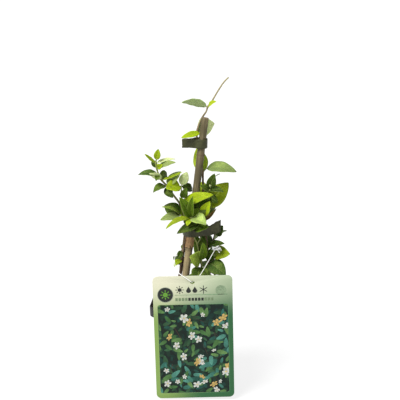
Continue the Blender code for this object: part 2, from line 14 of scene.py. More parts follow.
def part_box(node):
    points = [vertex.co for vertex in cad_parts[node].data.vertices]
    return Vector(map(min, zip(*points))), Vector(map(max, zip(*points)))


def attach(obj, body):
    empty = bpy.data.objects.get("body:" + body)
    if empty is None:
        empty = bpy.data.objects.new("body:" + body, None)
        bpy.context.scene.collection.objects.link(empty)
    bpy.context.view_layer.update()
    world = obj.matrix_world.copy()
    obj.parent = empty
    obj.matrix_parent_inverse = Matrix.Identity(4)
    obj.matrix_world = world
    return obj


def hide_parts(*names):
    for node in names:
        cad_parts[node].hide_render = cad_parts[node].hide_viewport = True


bl_info = {
    "name": "Potted Honeysuckle Vine",
    "version": (1, 0, 0),
    "blender": (4, 5, 0),
    "location": "View3D > Sidebar > Vine",
    "description": "Models a young honeysuckle vine on its cane, in its pot, with its label",
    "category": "Object",
}

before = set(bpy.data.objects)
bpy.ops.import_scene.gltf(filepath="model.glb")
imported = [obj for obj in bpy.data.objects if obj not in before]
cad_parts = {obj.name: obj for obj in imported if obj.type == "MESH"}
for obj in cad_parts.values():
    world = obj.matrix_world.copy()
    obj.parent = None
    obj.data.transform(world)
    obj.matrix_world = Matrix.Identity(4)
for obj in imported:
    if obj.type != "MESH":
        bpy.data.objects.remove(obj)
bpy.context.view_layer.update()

MM = 0.001
POT_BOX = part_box("pot")
POT_HEIGHT = POT_BOX[1][2] / MM
SOIL_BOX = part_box("soil")

Stem = namedtuple("Stem", "points foot_radius tip_radius foot_bark tip_bark")
# A leaf grows from its stem's point number `joint` and ends at `tip`, in millimetres. `face` is where its
# upper side looks, `fold` the rise of its halves in degrees and `arch` its bow as a share of its length.
# `stalk` is where the blade begins, from the joint, where that is off the straight way to the tip.
Leaf = namedtuple("Leaf", "stem joint tip width face fold arch tint stalk", defaults=[None])

FRONT = (0.0, -0.9, 0.4)
UP_FRONT = (0.0, -0.6, 0.8)
UNDERSIDE_OUT = (0.0, 0.75, 0.6)
REAR = (0.0, 0.9, 0.4)

# The leaf greens are partly each leaf's own colour and partly painted light: lighter tints such as SUNLIT and
# BRIGHT are painted light on leaves that face the lamp, and darker ones such as DEEP and LUSH are painted
# shade on leaves down inside the plant.
LIME = (0.26, 0.35, 0.003)
SUNLIT = (0.42, 0.52, 0.004)
OLIVE = (0.22, 0.28, 0.006)
GRASS = (0.065, 0.125, 0.003)
MID = (0.055, 0.10, 0.010)
DEEP = (0.017, 0.042, 0.004)
FRESH = (0.15, 0.21, 0.025)
SAGE = (0.22, 0.28, 0.09)
MOSSY = (0.15, 0.205, 0.065)
PALE = (0.62, 0.70, 0.33)
DUSTY = (0.32, 0.40, 0.17)
LUSH = (0.035, 0.078, 0.016)
BRIGHT = (0.30, 0.40, 0.11)
DRIED = (0.16, 0.08, 0.03)
LIGHT_GREENS = (LIME, SUNLIT, OLIVE, PALE, SAGE, DUSTY)

RED_BARK = (0.16, 0.075, 0.04)
DARK_BARK = (0.07, 0.035, 0.022)
BROWN_BARK = (0.13, 0.065, 0.04)
GREEN_BARK = (0.30, 0.38, 0.06)
OLIVE_BARK = (0.20, 0.22, 0.07)
TAN_BARK = (0.42, 0.37, 0.17)

STEMS = {
    "leader": {
        "main": Stem(
            [
                (22, 8, 62), (22, 7, 96), (21, 4, 134), (20, 4, 144), (18.6, 4, 161), (16.6, 4.5, 178),
                (16, 5, 192), (15.2, 5.5, 208), (14.4, 5.5, 219), (13.8, 5.2, 233), (13.4, 4.6, 246.6),
                (11.6, 7, 259.4), (9.4, 6.8, 270.5), (7.2, 4.6, 282), (7.3, 1.4, 293), (9.2, 2.4, 300.5),
                (12, 4.9, 306.4), (14.6, 4.8, 310.6), (17.3, 3, 315), (18.9, 1, 320.3), (23, 0, 326),
                (30.2, -2, 338.7), (36.1, -2, 347.4), (41, -1, 352.3),
            ],
            1.5, 0.8, RED_BARK, TAN_BARK,
        ),
        "side": Stem([(14.4, 5.5, 219), (17.4, 2, 223), (21, -1, 228.3), (23.1, -2, 231.4)], 0.8, 0.5,
                     OLIVE_BARK, GREEN_BARK),
    },
    "left_shoot": {
        "main": Stem(
            [
                (-21.5, 7, 62), (-18.5, 6, 96), (-10, 4.8, 139), (-9.2, 4.8, 147), (-8.3, 4.6, 157.5),
                (-6.8, 4.4, 171.5), (-5.8, 4.2, 181), (-5, 3.2, 190.3), (-6.8, 0, 201.3), (-10.6, -3, 212),
                (-19.1, -5, 224.6), (-26, -7, 235), (-31.1, -8, 241.4), (-34.3, -8.5, 247.7),
                (-36.4, -9, 254.6), (-37.2, -9, 260.2), (-36.4, -9, 265.8),
            ],
            2.1, 0.6, BROWN_BARK, GREEN_BARK,
        ),
        "left_spur": Stem([(-5, 3.2, 190.3), (-7.2, 0, 193.5), (-10.5, -3.5, 200.8)], 0.9, 0.7,
                          OLIVE_BARK, GREEN_BARK),
        "upright_spur": Stem([(-10.6, -3, 212), (-9.6, -5, 219.7), (-9.9, -7, 229.3), (-10.1, -7, 234.4)],
                             0.8, 0.6, OLIVE_BARK, GREEN_BARK),
    },
    "centre_shoot": {
        "main": Stem(
            [
                (10, -7, 62), (10.5, -6.5, 96), (12.5, -5.5, 134), (12.3, -5.5, 142), (12, -5.5, 148.4),
                (9.7, -6.2, 158), (7.2, -7, 168.6), (4.6, -7.5, 175.5), (3.5, -7.8, 183.9),
                (1.2, -9.5, 199.3), (1, -10.5, 206.5),
            ],
            1.1, 0.6, OLIVE_BARK, GREEN_BARK,
        ),
        "fork": Stem([(7.2, -7, 168.6), (10.7, -6.2, 174.6), (11.2, -6, 183.4), (11.2, -7, 192.9),
                      (13, -8, 200.6)], 0.8, 0.6, OLIVE_BARK, GREEN_BARK),
    },
    "basal_twig": {
        "main": Stem([(29, 7, 62), (28.5, 7, 96), (26.9, 8, 132.3), (25.5, 10.5, 152.4),
                      (25.3, 11.5, 166.5), (27, 11.5, 174)], 1.5, 0.7, DARK_BARK, RED_BARK),
    },
}

LEAVES = {
    "leader": [
        Leaf("main", 19, (-9, -4, 327), 11, UNDERSIDE_OUT, 12, 0.05, DUSTY),
        Leaf("main", 19, (27, -13, 328.5), 6, (-0.3, -0.75, 0.6), 14, 0.05, SUNLIT),
        Leaf("main", 14, (-9.7, -6, 288), 7.5, (0.0, -0.7, 0.7), 15, 0.03, LIME, (3, -2.5, -1)),
        Leaf("main", 14, (25.5, 13, 300), 21, (0.1, 0.9, 0.3), 6, 0.04, PALE),
        Leaf("main", 10, (7.5, 13, 273), 15, REAR, 8, 0.05, SUNLIT),
        Leaf("main", 10, (50, -6, 250.7), 13, (0.0, -0.7, 0.72), 14, 0.14, MOSSY, (4.5, 0, 5)),
        Leaf("main", 7, (42, 10, 234), 20, (0.2, -0.9, 0.4), 10, 0.06, OLIVE),
        Leaf("main", 6, (23, 7, 213.5), 10, (0.7, -0.6, 0.3), 15, 0.08, DEEP),
        Leaf("main", 6, (28.5, 2, 206.5), 4.5, (0.3, -0.8, 0.5), 40, 0.2, DRIED),
        Leaf("main", 3, (39, -10, 134), 17, (0.1, -0.85, 0.5), 9, 0.08, LUSH),
        Leaf("main", 3, (24, -2, 163), 9, FRONT, 12, 0.05, DEEP),
        Leaf("main", 4, (37, -5, 169), 9, UP_FRONT, 14, 0.12, DEEP),
        Leaf("main", 6, (28, 25, 205), 12, (0.3, 0.5, 0.8), 14, 0.12, MID),
        Leaf("main", 8, (8, 27, 232), 13, (-0.2, 0.6, 0.8), 14, 0.12, OLIVE),
        Leaf("main", 4, (14, 29, 171), 13, (0.0, 0.5, 0.8), 12, 0.12, DEEP),
        Leaf("main", 2, (12, 28, 138), 13, (-0.2, 0.5, 0.8), 12, 0.12, MID),
        Leaf("side", 2, (26.1, -6, 248), 10, (-0.1, -0.9, 0.35), 14, 0.06, DEEP),
        Leaf("side", 2, (36, -13, 229.5), 8, UP_FRONT, 14, 0.12, DEEP),
        Leaf("side", 2, (11, -7, 235.2), 6.5, (0.0, -0.85, 0.5), 14, 0.08, MID),
        Leaf("side", 1, (30, -5, 215.5), 9, FRONT, 12, 0.05, DEEP),
        Leaf("side", 1, (18.2, -11, 217.5), 7, FRONT, 12, 0.05, DEEP),
        Leaf("side", 1, (32, 18, 243), 12, (0.3, 0.5, 0.8), 12, 0.12, MID),
        Leaf("side", 3, (25.5, -5, 235.5), 2.5, FRONT, 20, 0.0, PALE),
        Leaf("side", 3, (21, -5, 235.5), 2.5, FRONT, 20, 0.0, PALE),
    ],
    "left_shoot": [
        Leaf("main", 16, (-34.4, -9, 276), 7, FRONT, 18, 0.05, LIME, (0, 0, -1.5)),
        Leaf("main", 15, (-48.8, -12, 271.5), 4.5, (0.5, -0.55, 0.67), 18, -0.05, LIME),
        Leaf("main", 15, (-16.2, -4, 264.2), 6, (-0.35, -0.4, 0.85), 14, 0.06, PALE),
        Leaf("main", 14, (-16.4, -14, 263.4), 8, (0.0, -0.5, 0.86), 12, 0.04, SAGE),
        Leaf("main", 14, (-41.6, 4, 261), 6, FRONT, 15, 0.05, DEEP),
        Leaf("main", 14, (-29.8, -15, 260.5), 6, (0.2, -0.9, 0.4), 20, 0.05, LIME),
        Leaf("main", 13, (-25, 2, 243.5), 10, (0.1, -0.9, 0.4), 10, 0.08, MID),
        Leaf("main", 13, (-56.4, -10, 248.5), 8, UP_FRONT, 12, 0.12, LUSH),
        Leaf("main", 13, (-37, -17, 243), 5.5, UP_FRONT, 12, 0.12, MID),
        Leaf("main", 12, (-43.8, -17, 251), 9, UNDERSIDE_OUT, 10, 0.05, PALE),
        Leaf("main", 12, (-9, -15, 253.2), 3.4, (-0.2, -0.5, 0.85), 14, -0.06, LIME),
        Leaf("main", 11, (-40.2, -14, 229.8), 9, (0.0, -0.5, 0.85), 12, 0.2, MID),
        Leaf("main", 11, (-19.5, -17, 224), 10, (-0.3, -0.9, 0.2), 12, 0.1, DEEP),
        Leaf("main", 11, (-10.5, -8, 251), 10, (-0.2, -0.8, 0.5), 10, 0.05, SAGE),
        Leaf("upright_spur", 3, (-26.3, -15, 234), 15, (0.0, -0.75, 0.65), 20, 0.06, LIME),
        Leaf("upright_spur", 3, (-3.6, -6, 250), 9.5, (0.2, 0.8, 0.55), 8, 0.04, PALE),
        Leaf("upright_spur", 1, (-4.5, -9, 233), 8, (0.2, -0.9, 0.2), 14, 0.06, MID),
        Leaf("upright_spur", 3, (2.5, 10, 226.5), 9, FRONT, 12, 0.1, DEEP),
        Leaf("left_spur", 2, (-28.6, 2, 210.5), 15, (-0.1, -0.8, 0.6), 12, 0.12, DEEP),
        Leaf("left_spur", 2, (-31.2, -12, 212.6), 5, (0.0, -0.5, 0.87), 14, 0.14, FRESH),
        Leaf("left_spur", 2, (-32.8, -13, 198), 9, (0.0, -0.7, 0.7), 12, 0.08, SAGE),
        Leaf("main", 9, (24.6, -16, 227.5), 12, (0.0, -0.75, 0.65), 12, 0.1, LIME),
        Leaf("main", 3, (-18.5, -5, 142), 7, (-0.3, -0.6, 0.7), 14, 0.12, LIME),
        Leaf("main", 4, (-14.5, -2, 150.5), 7, FRONT, 12, 0.1, DEEP),
        Leaf("main", 4, (0, 27, 162), 9, (-0.3, 0.5, 0.8), 12, 0.12, MID),
        Leaf("main", 2, (-19, 20, 146), 11, (-0.3, 0.5, 0.8), 12, 0.12, DEEP),
        Leaf("main", 7, (-12, 24, 207), 12, (-0.2, 0.6, 0.8), 12, 0.12, OLIVE),
    ],
    "centre_shoot": [
        Leaf("main", 9, (-11.1, -17, 223.8), 12, (0.3, -0.9, 0.2), 20, 0.06, GRASS),
        Leaf("main", 9, (1.9, -20, 225.4), 9, (-0.3, -0.9, 0.3), 34, 0.05, GRASS),
        Leaf("main", 9, (-27.2, -18, 190.3), 7.5, (-0.1, -0.45, 0.9), 20, 0.12, OLIVE),
        Leaf("main", 9, (-3.6, -19, 193), 7, (-0.3, -0.8, 0.5), 15, 0.1, LIME),
        Leaf("main", 9, (17.1, -23, 195.6), 15, (0.15, -0.72, 0.68), 22, 0.12, BRIGHT),
        Leaf("fork", 4, (21, -16, 219.2), 10.5, (-0.2, -0.9, 0.3), 15, 0.06, LIME),
        Leaf("fork", 4, (21.4, -3, 219), 12, (-0.3, -0.9, 0.3), 12, 0.06, DEEP, (0.5, 2.5, 1.5)),
        Leaf("fork", 3, (-14.6, -18, 184.4), 10, (0.0, -0.8, 0.6), 14, 0.1, DEEP),
        Leaf("fork", 3, (17.3, -15, 188), 8, FRONT, 12, 0.05, DEEP),
        Leaf("main", 9, (20.5, -8, 219.5), 14, (-0.3, -0.9, 0.3), 8, 0.06, DEEP),
        Leaf("main", 9, (9, -11, 211), 8, (0.1, -0.9, 0.3), 14, 0.06, GRASS),
        Leaf("main", 8, (20, -14, 190.5), 9, (0.0, -0.7, 0.7), 14, 0.1, GRASS),
        Leaf("main", 8, (-7, -13, 196), 9, (0.0, -0.7, 0.7), 14, 0.1, DEEP),
        Leaf("main", 4, (6.5, -1, 177), 11, FRONT, 10, 0.02, MID),
        Leaf("main", 4, (14.5, 0, 177), 10, FRONT, 10, 0.02, DEEP),
        Leaf("main", 4, (-0.3, -12, 148), 8, (0.0, -0.3, 0.95), 10, 0.1, MID),
        Leaf("main", 4, (-0.4, -14, 156), 17, (-0.2, -0.85, 0.45), 14, 0.1, FRESH),
        Leaf("main", 4, (14.3, -11, 171), 9, (0.4, -0.9, 0.2), 15, 0.08, GRASS),
        Leaf("main", 3, (5, -15, 128), 15, (-0.1, -0.9, 0.4), 10, 0.08, DEEP),
        Leaf("main", 3, (18, -16, 127), 12, FRONT, 12, 0.05, DEEP),
        Leaf("main", 2, (-8, -20, 120), 12, (-0.2, -0.6, 0.7), 12, 0.1, MID),
        Leaf("main", 2, (31, -22, 118), 12, (0.2, -0.6, 0.7), 12, 0.1, MID),
    ],
    "basal_twig": [
        Leaf("main", 5, (36, 4, 186), 12, (-0.2, -0.9, 0.3), 10, 0.06, DEEP),
        Leaf("main", 3, (43.5, -4, 156), 15, (0.0, -0.85, 0.52), 10, 0.1, OLIVE),
        Leaf("main", 3, (38, 21, 152), 12, (0.3, 0.5, 0.8), 12, 0.12, MID),
        Leaf("main", 4, (40, 15, 178), 10, (0.3, 0.5, 0.8), 12, 0.12, MID),
    ],
}

CANE_FOOT = Vector((-18.5, 0.0, 22.0))
CANE_TOP = Vector((16.0, 0.0, 308.5))
CANE_HOLLOW_DEPTH = 6.0
CANE_KNOT_HEIGHTS = (101.0, 163.0, 268.0)
# A knot's outline: a share of the cane's length from its middle, a share of the swell, and how dark it is.
KNOT_PROFILE = (
    (-0.022, 0.0, 0.25), (-0.010, 0.3, 0.55), (-0.003, 1.0, 0.5), (-0.0008, 0.55, 1.0), (0.0012, 0.95, 0.6),
    (0.006, 0.5, 0.2), (0.016, 0.0, 0.0),
)
SHEATH_COLOUR = (0.50, 0.29, 0.125)
BARK_STRIP_COLOUR = (0.14, 0.070, 0.042)

UPPER_TAPE_HEIGHT = 280.5
LOWER_TAPE_HEIGHT = 180.5
UPPER_TAPE_PLAN = [
    (-9.0, 0.2), (-3.0, -0.1), (1.6, -0.2), (4.8, -2.6), (8.0, -4.9), (12.6, -5.8), (16.6, -4.4), (18.5, 0.0),
    (16.8, 5.2), (12.6, 8.2), (8.0, 8.8), (4.6, 7.4), (2.8, 4.2), (-3.0, 1.9), (-8.4, 1.6),
]
LOWER_TAPE_PLAN = [
    (33.5, -2.2), (27.0, -3.0), (21.0, -2.6), (19.2, 1.5), (18.9, 5.0), (16.4, 6.9), (8.0, 6.9), (-4.0, 7.2),
    (-7.6, 6.4), (-8.6, 3.8), (-7.6, 0.0), (-4.6, -5.0), (0.5, -9.4), (6.0, -9.8), (14.5, -7.4), (21.0, -4.8),
    (26.0, -4.6), (32.0, -3.9),
]

LABEL_WIDTH = 86.0
LABEL_HEIGHT = 142.0
LABEL_CENTRE = Vector((3.9, -46.9, 74.2))
LABEL_ROLL = math.radians(-1.4)
LABEL_HOLE_HEIGHT = 63.6
LABEL_HOLE_HALF_WIDTH = 2.4
LABEL_HOLE_HALF_HEIGHT = 1.7
LABEL_EDGE_ROUNDING = 0.12
PICTURE_LOW = (-38.0, -64.5)
PICTURE_HIGH = (37.5, 38.0)
INK_LAYERS = ("frame", "ground", "back", "mid", "front", "top")
INK_LAYER_RISE = 0.02
PRINTED_ROWS = 17
PRINTED_COLUMNS = 12
BLOSSOM_PLACES = [
    (-26, 27), (-9, 19), (13, 29), (29, 18), (2, 3), (-25, -4), (25, -9), (-10, -21), (9, -27), (-29, -34),
    (30, -37), (-14, -47), (7, -52), (26, -56), (-30, -57),
]

# The thread's route in millimetres, a little lower at the left than its solid's.
THREAD_ROUTE = [
    (2.2, -46.9, 137.9), (0.6, -48.4, 139.3), (-6.2, -48.5, 144.2), (-12.5, -44, 147.6), (-16.2, -29, 149.6),
    (-17.6, -14, 151.6), (-16.6, -1, 153.2), (-13, 8, 155), (-4, 12.4, 157.6), (8, 13, 160),
    (20, 11.4, 161.6), (27.6, 6.6, 162), (28.6, 0, 161.6), (26.4, -6.4, 160.4), (19.5, -23, 153.5),
    (11, -39.5, 144), (5.2, -45, 139.6), (3.6, -45.6, 138.5),
]
THREAD_ENDS = [
    [(26, -6.8, 160.2), (28, -8.4, 162.4), (30.4, -8.2, 161.6), (31.6, -7.8, 158.8), (32.6, -7.2, 159.6)],
    [(26.2, -6.6, 160.4), (25.2, -8.2, 162.6), (26.4, -8.6, 164.8), (28.6, -8.2, 164.4), (29, -7.6, 162)],
    [(28, -7.2, 162), (31, -7.6, 163.6), (33.6, -7.2, 163), (34.2, -6.8, 161)],
]
THREAD_LOCK_PLACE = (28.6, -5.6, 163.0)

DRAIN_HOLE_RADIUS = 4.0
DRAIN_HOLE_DISTANCE = 24.0
CRUMB_COUNT = 420
# Metres kept free above the soil for its lumps, beside it and under it.
SOIL_LUMP_ROOM = 0.0015
SOIL_SIDE_GAP = 0.0012
SOIL_FLOOR_GAP = 0.0003

LOOK_AT = (10.5, 0.0, 217.0)
LENS = 90.0
SENSOR_WIDTH = 36.0
SUN_TURN = (math.radians(40), 0.0, math.radians(-46))
SUN_SOFTNESS = math.radians(30)
FLOOR_GREY = (0.18, 0.18, 0.18)
FLOOR_HALF_WIDTH = 20.0


def length_setting(name, description, default, low, high):
    """A length in metres that a user can change."""
    return FloatProperty(name=name, description=description, default=default, min=low, max=high,
                         unit="LENGTH", precision=5)


def colour_setting(name, description, default):
    """A colour that a user can change."""
    return FloatVectorProperty(name=name, description=description, default=default, min=0.0, max=1.0,
                               subtype="COLOR")


class VineSettings(bpy.types.PropertyGroup):
    """Sizes and colours of the leaves and stems."""

    leaf_thickness: length_setting("Leaf Thickness", "Thickness of a blade", 0.0004, 0.0002, 0.001)
    petiole_length: length_setting("Stalk Length", "Length of a leaf's stalk", 0.0013, 0.0005, 0.01)
    petiole_radius: length_setting("Stalk Radius", "Radius of a leaf's stalk", 0.00055, 0.0002, 0.002)
    wave: length_setting("Margin Wave", "Height of the waves along a blade's margin", 0.0004, 0.0, 0.002)
    fullness: FloatProperty(name="Fullness", description="How much the blades are widened", default=1.12,
                            min=0.5, max=2.0, subtype="FACTOR")
    underside: colour_setting("Underside", "Colour that a blade's underside leans to", (0.30, 0.37, 0.20))
    vein: colour_setting("Vein", "Colour of the veins on the upper side", (0.62, 0.70, 0.22))


class CaneSettings(bpy.types.PropertyGroup):
    """Sizes and colours of the bamboo cane."""

    radius: length_setting("Radius", "Radius between the knots", 0.0042, 0.002, 0.01)
    knot_swell: length_setting("Knot Swell", "How far a knot stands out", 0.0004, 0.0, 0.001)
    wall: length_setting("Wall", "Thickness of the wall at the cut end", 0.0014, 0.0005, 0.003)
    light: colour_setting("Light Bamboo", "Colour of the clean skin", (0.38, 0.30, 0.16))
    dark: colour_setting("Weathered Bamboo", "Colour of the stained skin", (0.085, 0.068, 0.032))


class TieSettings(bpy.types.PropertyGroup):
    """Sizes and colour of the two plant ties."""

    width: length_setting("Width", "Width of the strip", 0.010, 0.004, 0.02)
    thickness: length_setting("Thickness", "Thickness of the strip", 0.0004, 0.0002, 0.001)
    colour: colour_setting("Colour", "Colour of the strip", (0.030, 0.032, 0.009))


class LabelSettings(bpy.types.PropertyGroup):
    """Sizes and colours of the card and its thread."""

    thickness: length_setting("Card Thickness", "Thickness of the card", 0.0007, 0.0003, 0.002)
    corner: length_setting("Corner Radius", "Radius of the card's corners", 0.0055, 0.001, 0.02)
    thread_radius: length_setting("Thread Radius", "Radius of the thread", 0.0004, 0.0002, 0.001)
    cream: colour_setting("Top", "Colour at the top of the card", (0.56, 0.55, 0.41))
    reed: colour_setting("Top Right", "Colour at the card's upper right", (0.33, 0.41, 0.26))
    fresh: colour_setting("Left", "Colour down the card's left side", (0.17, 0.27, 0.065))
    forest: colour_setting("Right", "Colour at the card's lower right", (0.018, 0.100, 0.034))
    print_seed: IntProperty(name="Print Seed", description="Seed of the printed foliage", default=11, min=0)


class PotSettings(bpy.types.PropertyGroup):
    """Sizes of the pot and its soil."""

    foot_width: length_setting("Foot Width", "Width at the foot", 0.060, 0.03, 0.1)
    rim_width: length_setting("Rim Width", "Width over the rim", 0.084, 0.05, 0.15)
    rim_height: length_setting("Rim Height", "Height of the rim band", 0.012, 0.004, 0.03)
    rim_step: length_setting("Rim Step", "How far the rim stands out", 0.004, 0.001, 0.01)
    wall: length_setting("Wall", "Thickness of the wall", 0.0012, 0.0005, 0.003)
    corner: length_setting("Corner Radius", "Radius of the upright corners", 0.008, 0.002, 0.02)
    turn: FloatProperty(name="Turn", description="How far the pot is turned from the label",
                        default=math.radians(-5.0), subtype="ANGLE")
    soil_seed: IntProperty(name="Soil Seed", description="Seed of the crumbs on the soil", default=5, min=0)


class StageSettings(bpy.types.PropertyGroup):
    """The camera and the light."""

    distance: length_setting("Camera Distance", "From the camera to the point it looks at", 1.1, 0.3, 5.0)
    look_down: FloatProperty(name="Look Down", description="How steeply the camera looks down",
                             default=math.radians(14.5), subtype="ANGLE")
    sun: FloatProperty(name="Sun", description="Strength of the soft key light", default=4.6, min=0.0)
    sky: FloatProperty(name="Sky", description="Strength of the even white surround", default=0.42, min=0.0)
    glow: FloatProperty(name="Floor Glow", description="Light that the pale floor gives off", default=0.83,
                        min=0.0)


def mm(point):
    """A point in millimetres as metres."""
    return Vector(point) * MM


def object_from(name, data):
    """A new object in the scene that shows the data."""
    made = bpy.data.objects.new(name, data)
    bpy.context.scene.collection.objects.link(made)
    return made


def mesh_from(bm, name):
    """Turns the bmesh into a mesh."""
    mesh = bpy.data.meshes.new(name)
    bm.to_mesh(mesh)
    bm.free()
    return mesh


def show(name, data, materials, node):
    """Makes a mesh or a curve a piece that rides on the plant and stands for a node."""
    piece = object_from(name, data)
    for item in materials:
        data.materials.append(item)
    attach(piece, "root")
    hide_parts(node)
    return piece


def piece_from(bm, name, materials, node):
    """Makes the bmesh a smooth piece."""
    mesh = mesh_from(bm, name)
    mesh.shade_smooth()
    return show(name, mesh, materials, node)


def cord_from(name, lines, radius, rounding, material, closed=False):
    """Makes round threads along the lines: a piece that stands for the label's thread."""
    curve = bpy.data.curves.new(name, "CURVE")
    curve.dimensions = "3D"
    curve.bevel_depth = radius
    curve.bevel_resolution = rounding
    curve.use_fill_caps = not closed
    for line in lines:
        spline = curve.splines.new("POLY")
        spline.points.add(len(line) - 1)
        spline.use_cyclic_u = closed
        for point, place in zip(spline.points, line):
            point.co = (*place, 1.0)
    show(name, curve, [material], "label_thread")


def thicken(piece, name, thickness, offset):
    """Gives a sheet its thickness: outside it at an offset of 1, inside at -1, to both sides at 0."""
    solidify = piece.modifiers.new(name, "SOLIDIFY")
    solidify.thickness = thickness
    solidify.offset = offset
    return solidify


def verts_of(made):
    """The verts that a bmesh step added."""
    return [g for g in made["geom"] if isinstance(g, bmesh.types.BMVert)]


def square(bm, half_width=0.5):
    """A plain square round the origin. Returns its verts."""
    return bmesh.ops.create_grid(bm, x_segments=1, y_segments=1, size=half_width)["verts"]


def round_off(bm, geom, radius, segments, affect="VERTICES"):
    """Rounds the corners, or the edges."""
    bmesh.ops.bevel(bm, geom=geom, offset=radius, offset_type="OFFSET", segments=segments, profile=0.5,
                    affect=affect, material=-1)


def catmull_rom(points, steps):
    """A smooth line through the points, with that many steps from each to the next."""
    ends = [points[0] * 2 - points[1], *points, points[-1] * 2 - points[-2]]
    line = []
    for i in range(1, len(ends) - 2):
        a, b, c, d = ends[i - 1 : i + 3]
        for k in range(steps):
            t = k / steps
            square = (2 * a - 5 * b + 4 * c - d) * t**2
            cube = (3 * b - a - 3 * c + d) * t**3
            line.append(0.5 * (2 * b + (c - a) * t + square + cube))
    return [*line, points[-1]]


def sweep(bm, line, radii, sides):
    """A rod: a disc that is extruded and moved from point to point along the line. Returns its rings."""
    ring = bmesh.ops.create_circle(bm, cap_ends=True, radius=1.0, segments=sides)["verts"]
    turn = Vector((0, 0, 1)).rotation_difference(line[1] - line[0])
    place = Matrix.LocRotScale(line[0], turn, Vector((radii[0],) * 3))
    bmesh.ops.transform(bm, matrix=place, verts=ring)
    bmesh.ops.reverse_faces(bm, faces=list({f for v in ring for f in v.link_faces}))
    rings = [ring]
    for i in range(1, len(line)):
        ahead = line[min(i + 1, len(line) - 1)] - line[i - 1]
        turn = (turn @ Vector((0, 0, 1))).rotation_difference(ahead) @ turn
        target = Matrix.LocRotScale(line[i], turn, Vector((radii[i],) * 3))
        edges = {e for v in ring for e in v.link_edges if e.other_vert(v) in ring}
        ring = verts_of(bmesh.ops.extrude_edge_only(bm, edges=list(edges)))
        bmesh.ops.transform(bm, matrix=target @ place.inverted(), verts=ring)
        place = target
        rings.append(ring)
    bmesh.ops.contextual_create(bm, geom=ring)
    return rings


def paint(verts, layer, colour):
    """Sets the verts' colour."""
    for vert in verts:
        vert[layer] = (*colour, 1.0)


def blend_colour(a, b, share):
    """The colour that lies between two."""
    return tuple(x + (y - x) * share for x, y in zip(a, b))


def stem_into(bm, tint, stem, joints):
    """Adds a stem that tapers to its tip, swells at its joints and turns from bark to green."""
    joint_places = [mm(stem.points[j]) for j in joints]
    line = catmull_rom([mm(p) for p in stem.points], 6)
    last = len(line) - 1
    radii = []
    for i, place in enumerate(line):
        radius = MM * (stem.foot_radius + (stem.tip_radius - stem.foot_radius) * i / last)
        near = min(((place - j).length for j in joint_places), default=1.0)
        swelling = 0.4 * math.exp(-((near / (1.7 * MM)) ** 2))
        radii.append(radius * (1 + swelling + 0.07 * noise(place / (4 * MM))))
    for i, ring in enumerate(sweep(bm, line, radii, 10)):
        paint(ring, tint, blend_colour(stem.foot_bark, stem.tip_bark, (i / last) ** 1.6))


def stalk_into(bm, tint, root, base, radius, colours):
    """Adds a leaf's stalk, from inside the stem to just past the blade's foot."""
    reach = base - root
    line = [root, root + reach * 0.5 + Vector((0, 0, 0.04)) * reach.length, base, base + reach * 0.35]
    radii = [radius * 1.35, radius, radius * 0.85, radius * 0.3]
    for i, ring in enumerate(sweep(bm, line, radii, 7)):
        paint(ring, tint, blend_colour(*colours, min(1.0, i / 2)))


def blade_outline(along):
    """Half the blade's width there, as a share of the widest, with a rounded foot and a short point."""
    return max(0.02, math.sin(math.pi * along**0.78) ** 0.72)


def blade_into(bm, tint, bloom, leaf, base, tip, settings, chance):
    """Adds one blade: a grid folded at the midrib, crowned in each half, arched, twisted and waved."""
    chord = tip - base
    length = chord.length
    forward = chord.normalized()
    normal = Vector(leaf.face)
    normal = (normal - normal.dot(forward) * forward).normalized()
    across = forward.cross(normal)
    fold = math.radians(leaf.fold)
    waves = chance.uniform(2.2, 3.4)
    shift = chance.uniform(0, math.tau)
    twist = math.radians(chance.uniform(-14, 14))
    curl = chance.uniform(0.02, 0.07)
    shade = chance.uniform(0.86, 1.14)
    rows = 14 if length > 10 * MM else 8
    grid = bmesh.ops.create_grid(bm, x_segments=8, y_segments=rows, size=0.5, calc_uvs=True)["verts"]
    for vert in grid:
        share = vert.co.x * 2
        along = vert.co.y + 0.5
        half_width = 0.5 * leaf.width * settings.fullness * MM * blade_outline(min(along, 0.995))
        side = abs(share)
        turn = twist * (along - 0.4)
        flank = half_width * math.cos(fold)
        rise = half_width * (side * math.sin(fold) + 0.16 * side * (1 - side))
        left_half = math.pi if share < 0 else 0
        ripple = math.sin(math.tau * waves * along + shift + left_half)
        rise += settings.wave * min(1.0, leaf.width / 14) * side**2 * ripple
        bow = leaf.arch * length * 4 * along * (1 - along) - curl * length * along**4
        sideways = across * math.cos(turn) + normal * math.sin(turn)
        upright = normal * math.cos(turn) - across * math.sin(turn)
        vert.co = base + forward * along * length + sideways * share * flank + upright * rise + normal * bow
        fade = 0.9 + 0.2 * along
        vert[tint] = (*(min(1.0, c * shade * fade) for c in leaf.tint), 1.0)
        vert[bloom] = 0.12 if leaf.tint in LIGHT_GREENS else 0.5


def group(name, inputs, outputs):
    """A shader node group with named sockets, or the one already made, with False in its second place."""
    made = bpy.data.node_groups.get(name)
    if made:
        return made, False
    made = bpy.data.node_groups.new(name, "ShaderNodeTree")
    for label, kind, default in inputs:
        socket = made.interface.new_socket(name=label, in_out="INPUT", socket_type=kind)
        if default is not None:
            socket.default_value = default
    for label, kind in outputs:
        made.interface.new_socket(name=label, in_out="OUTPUT", socket_type=kind)
    return made, True


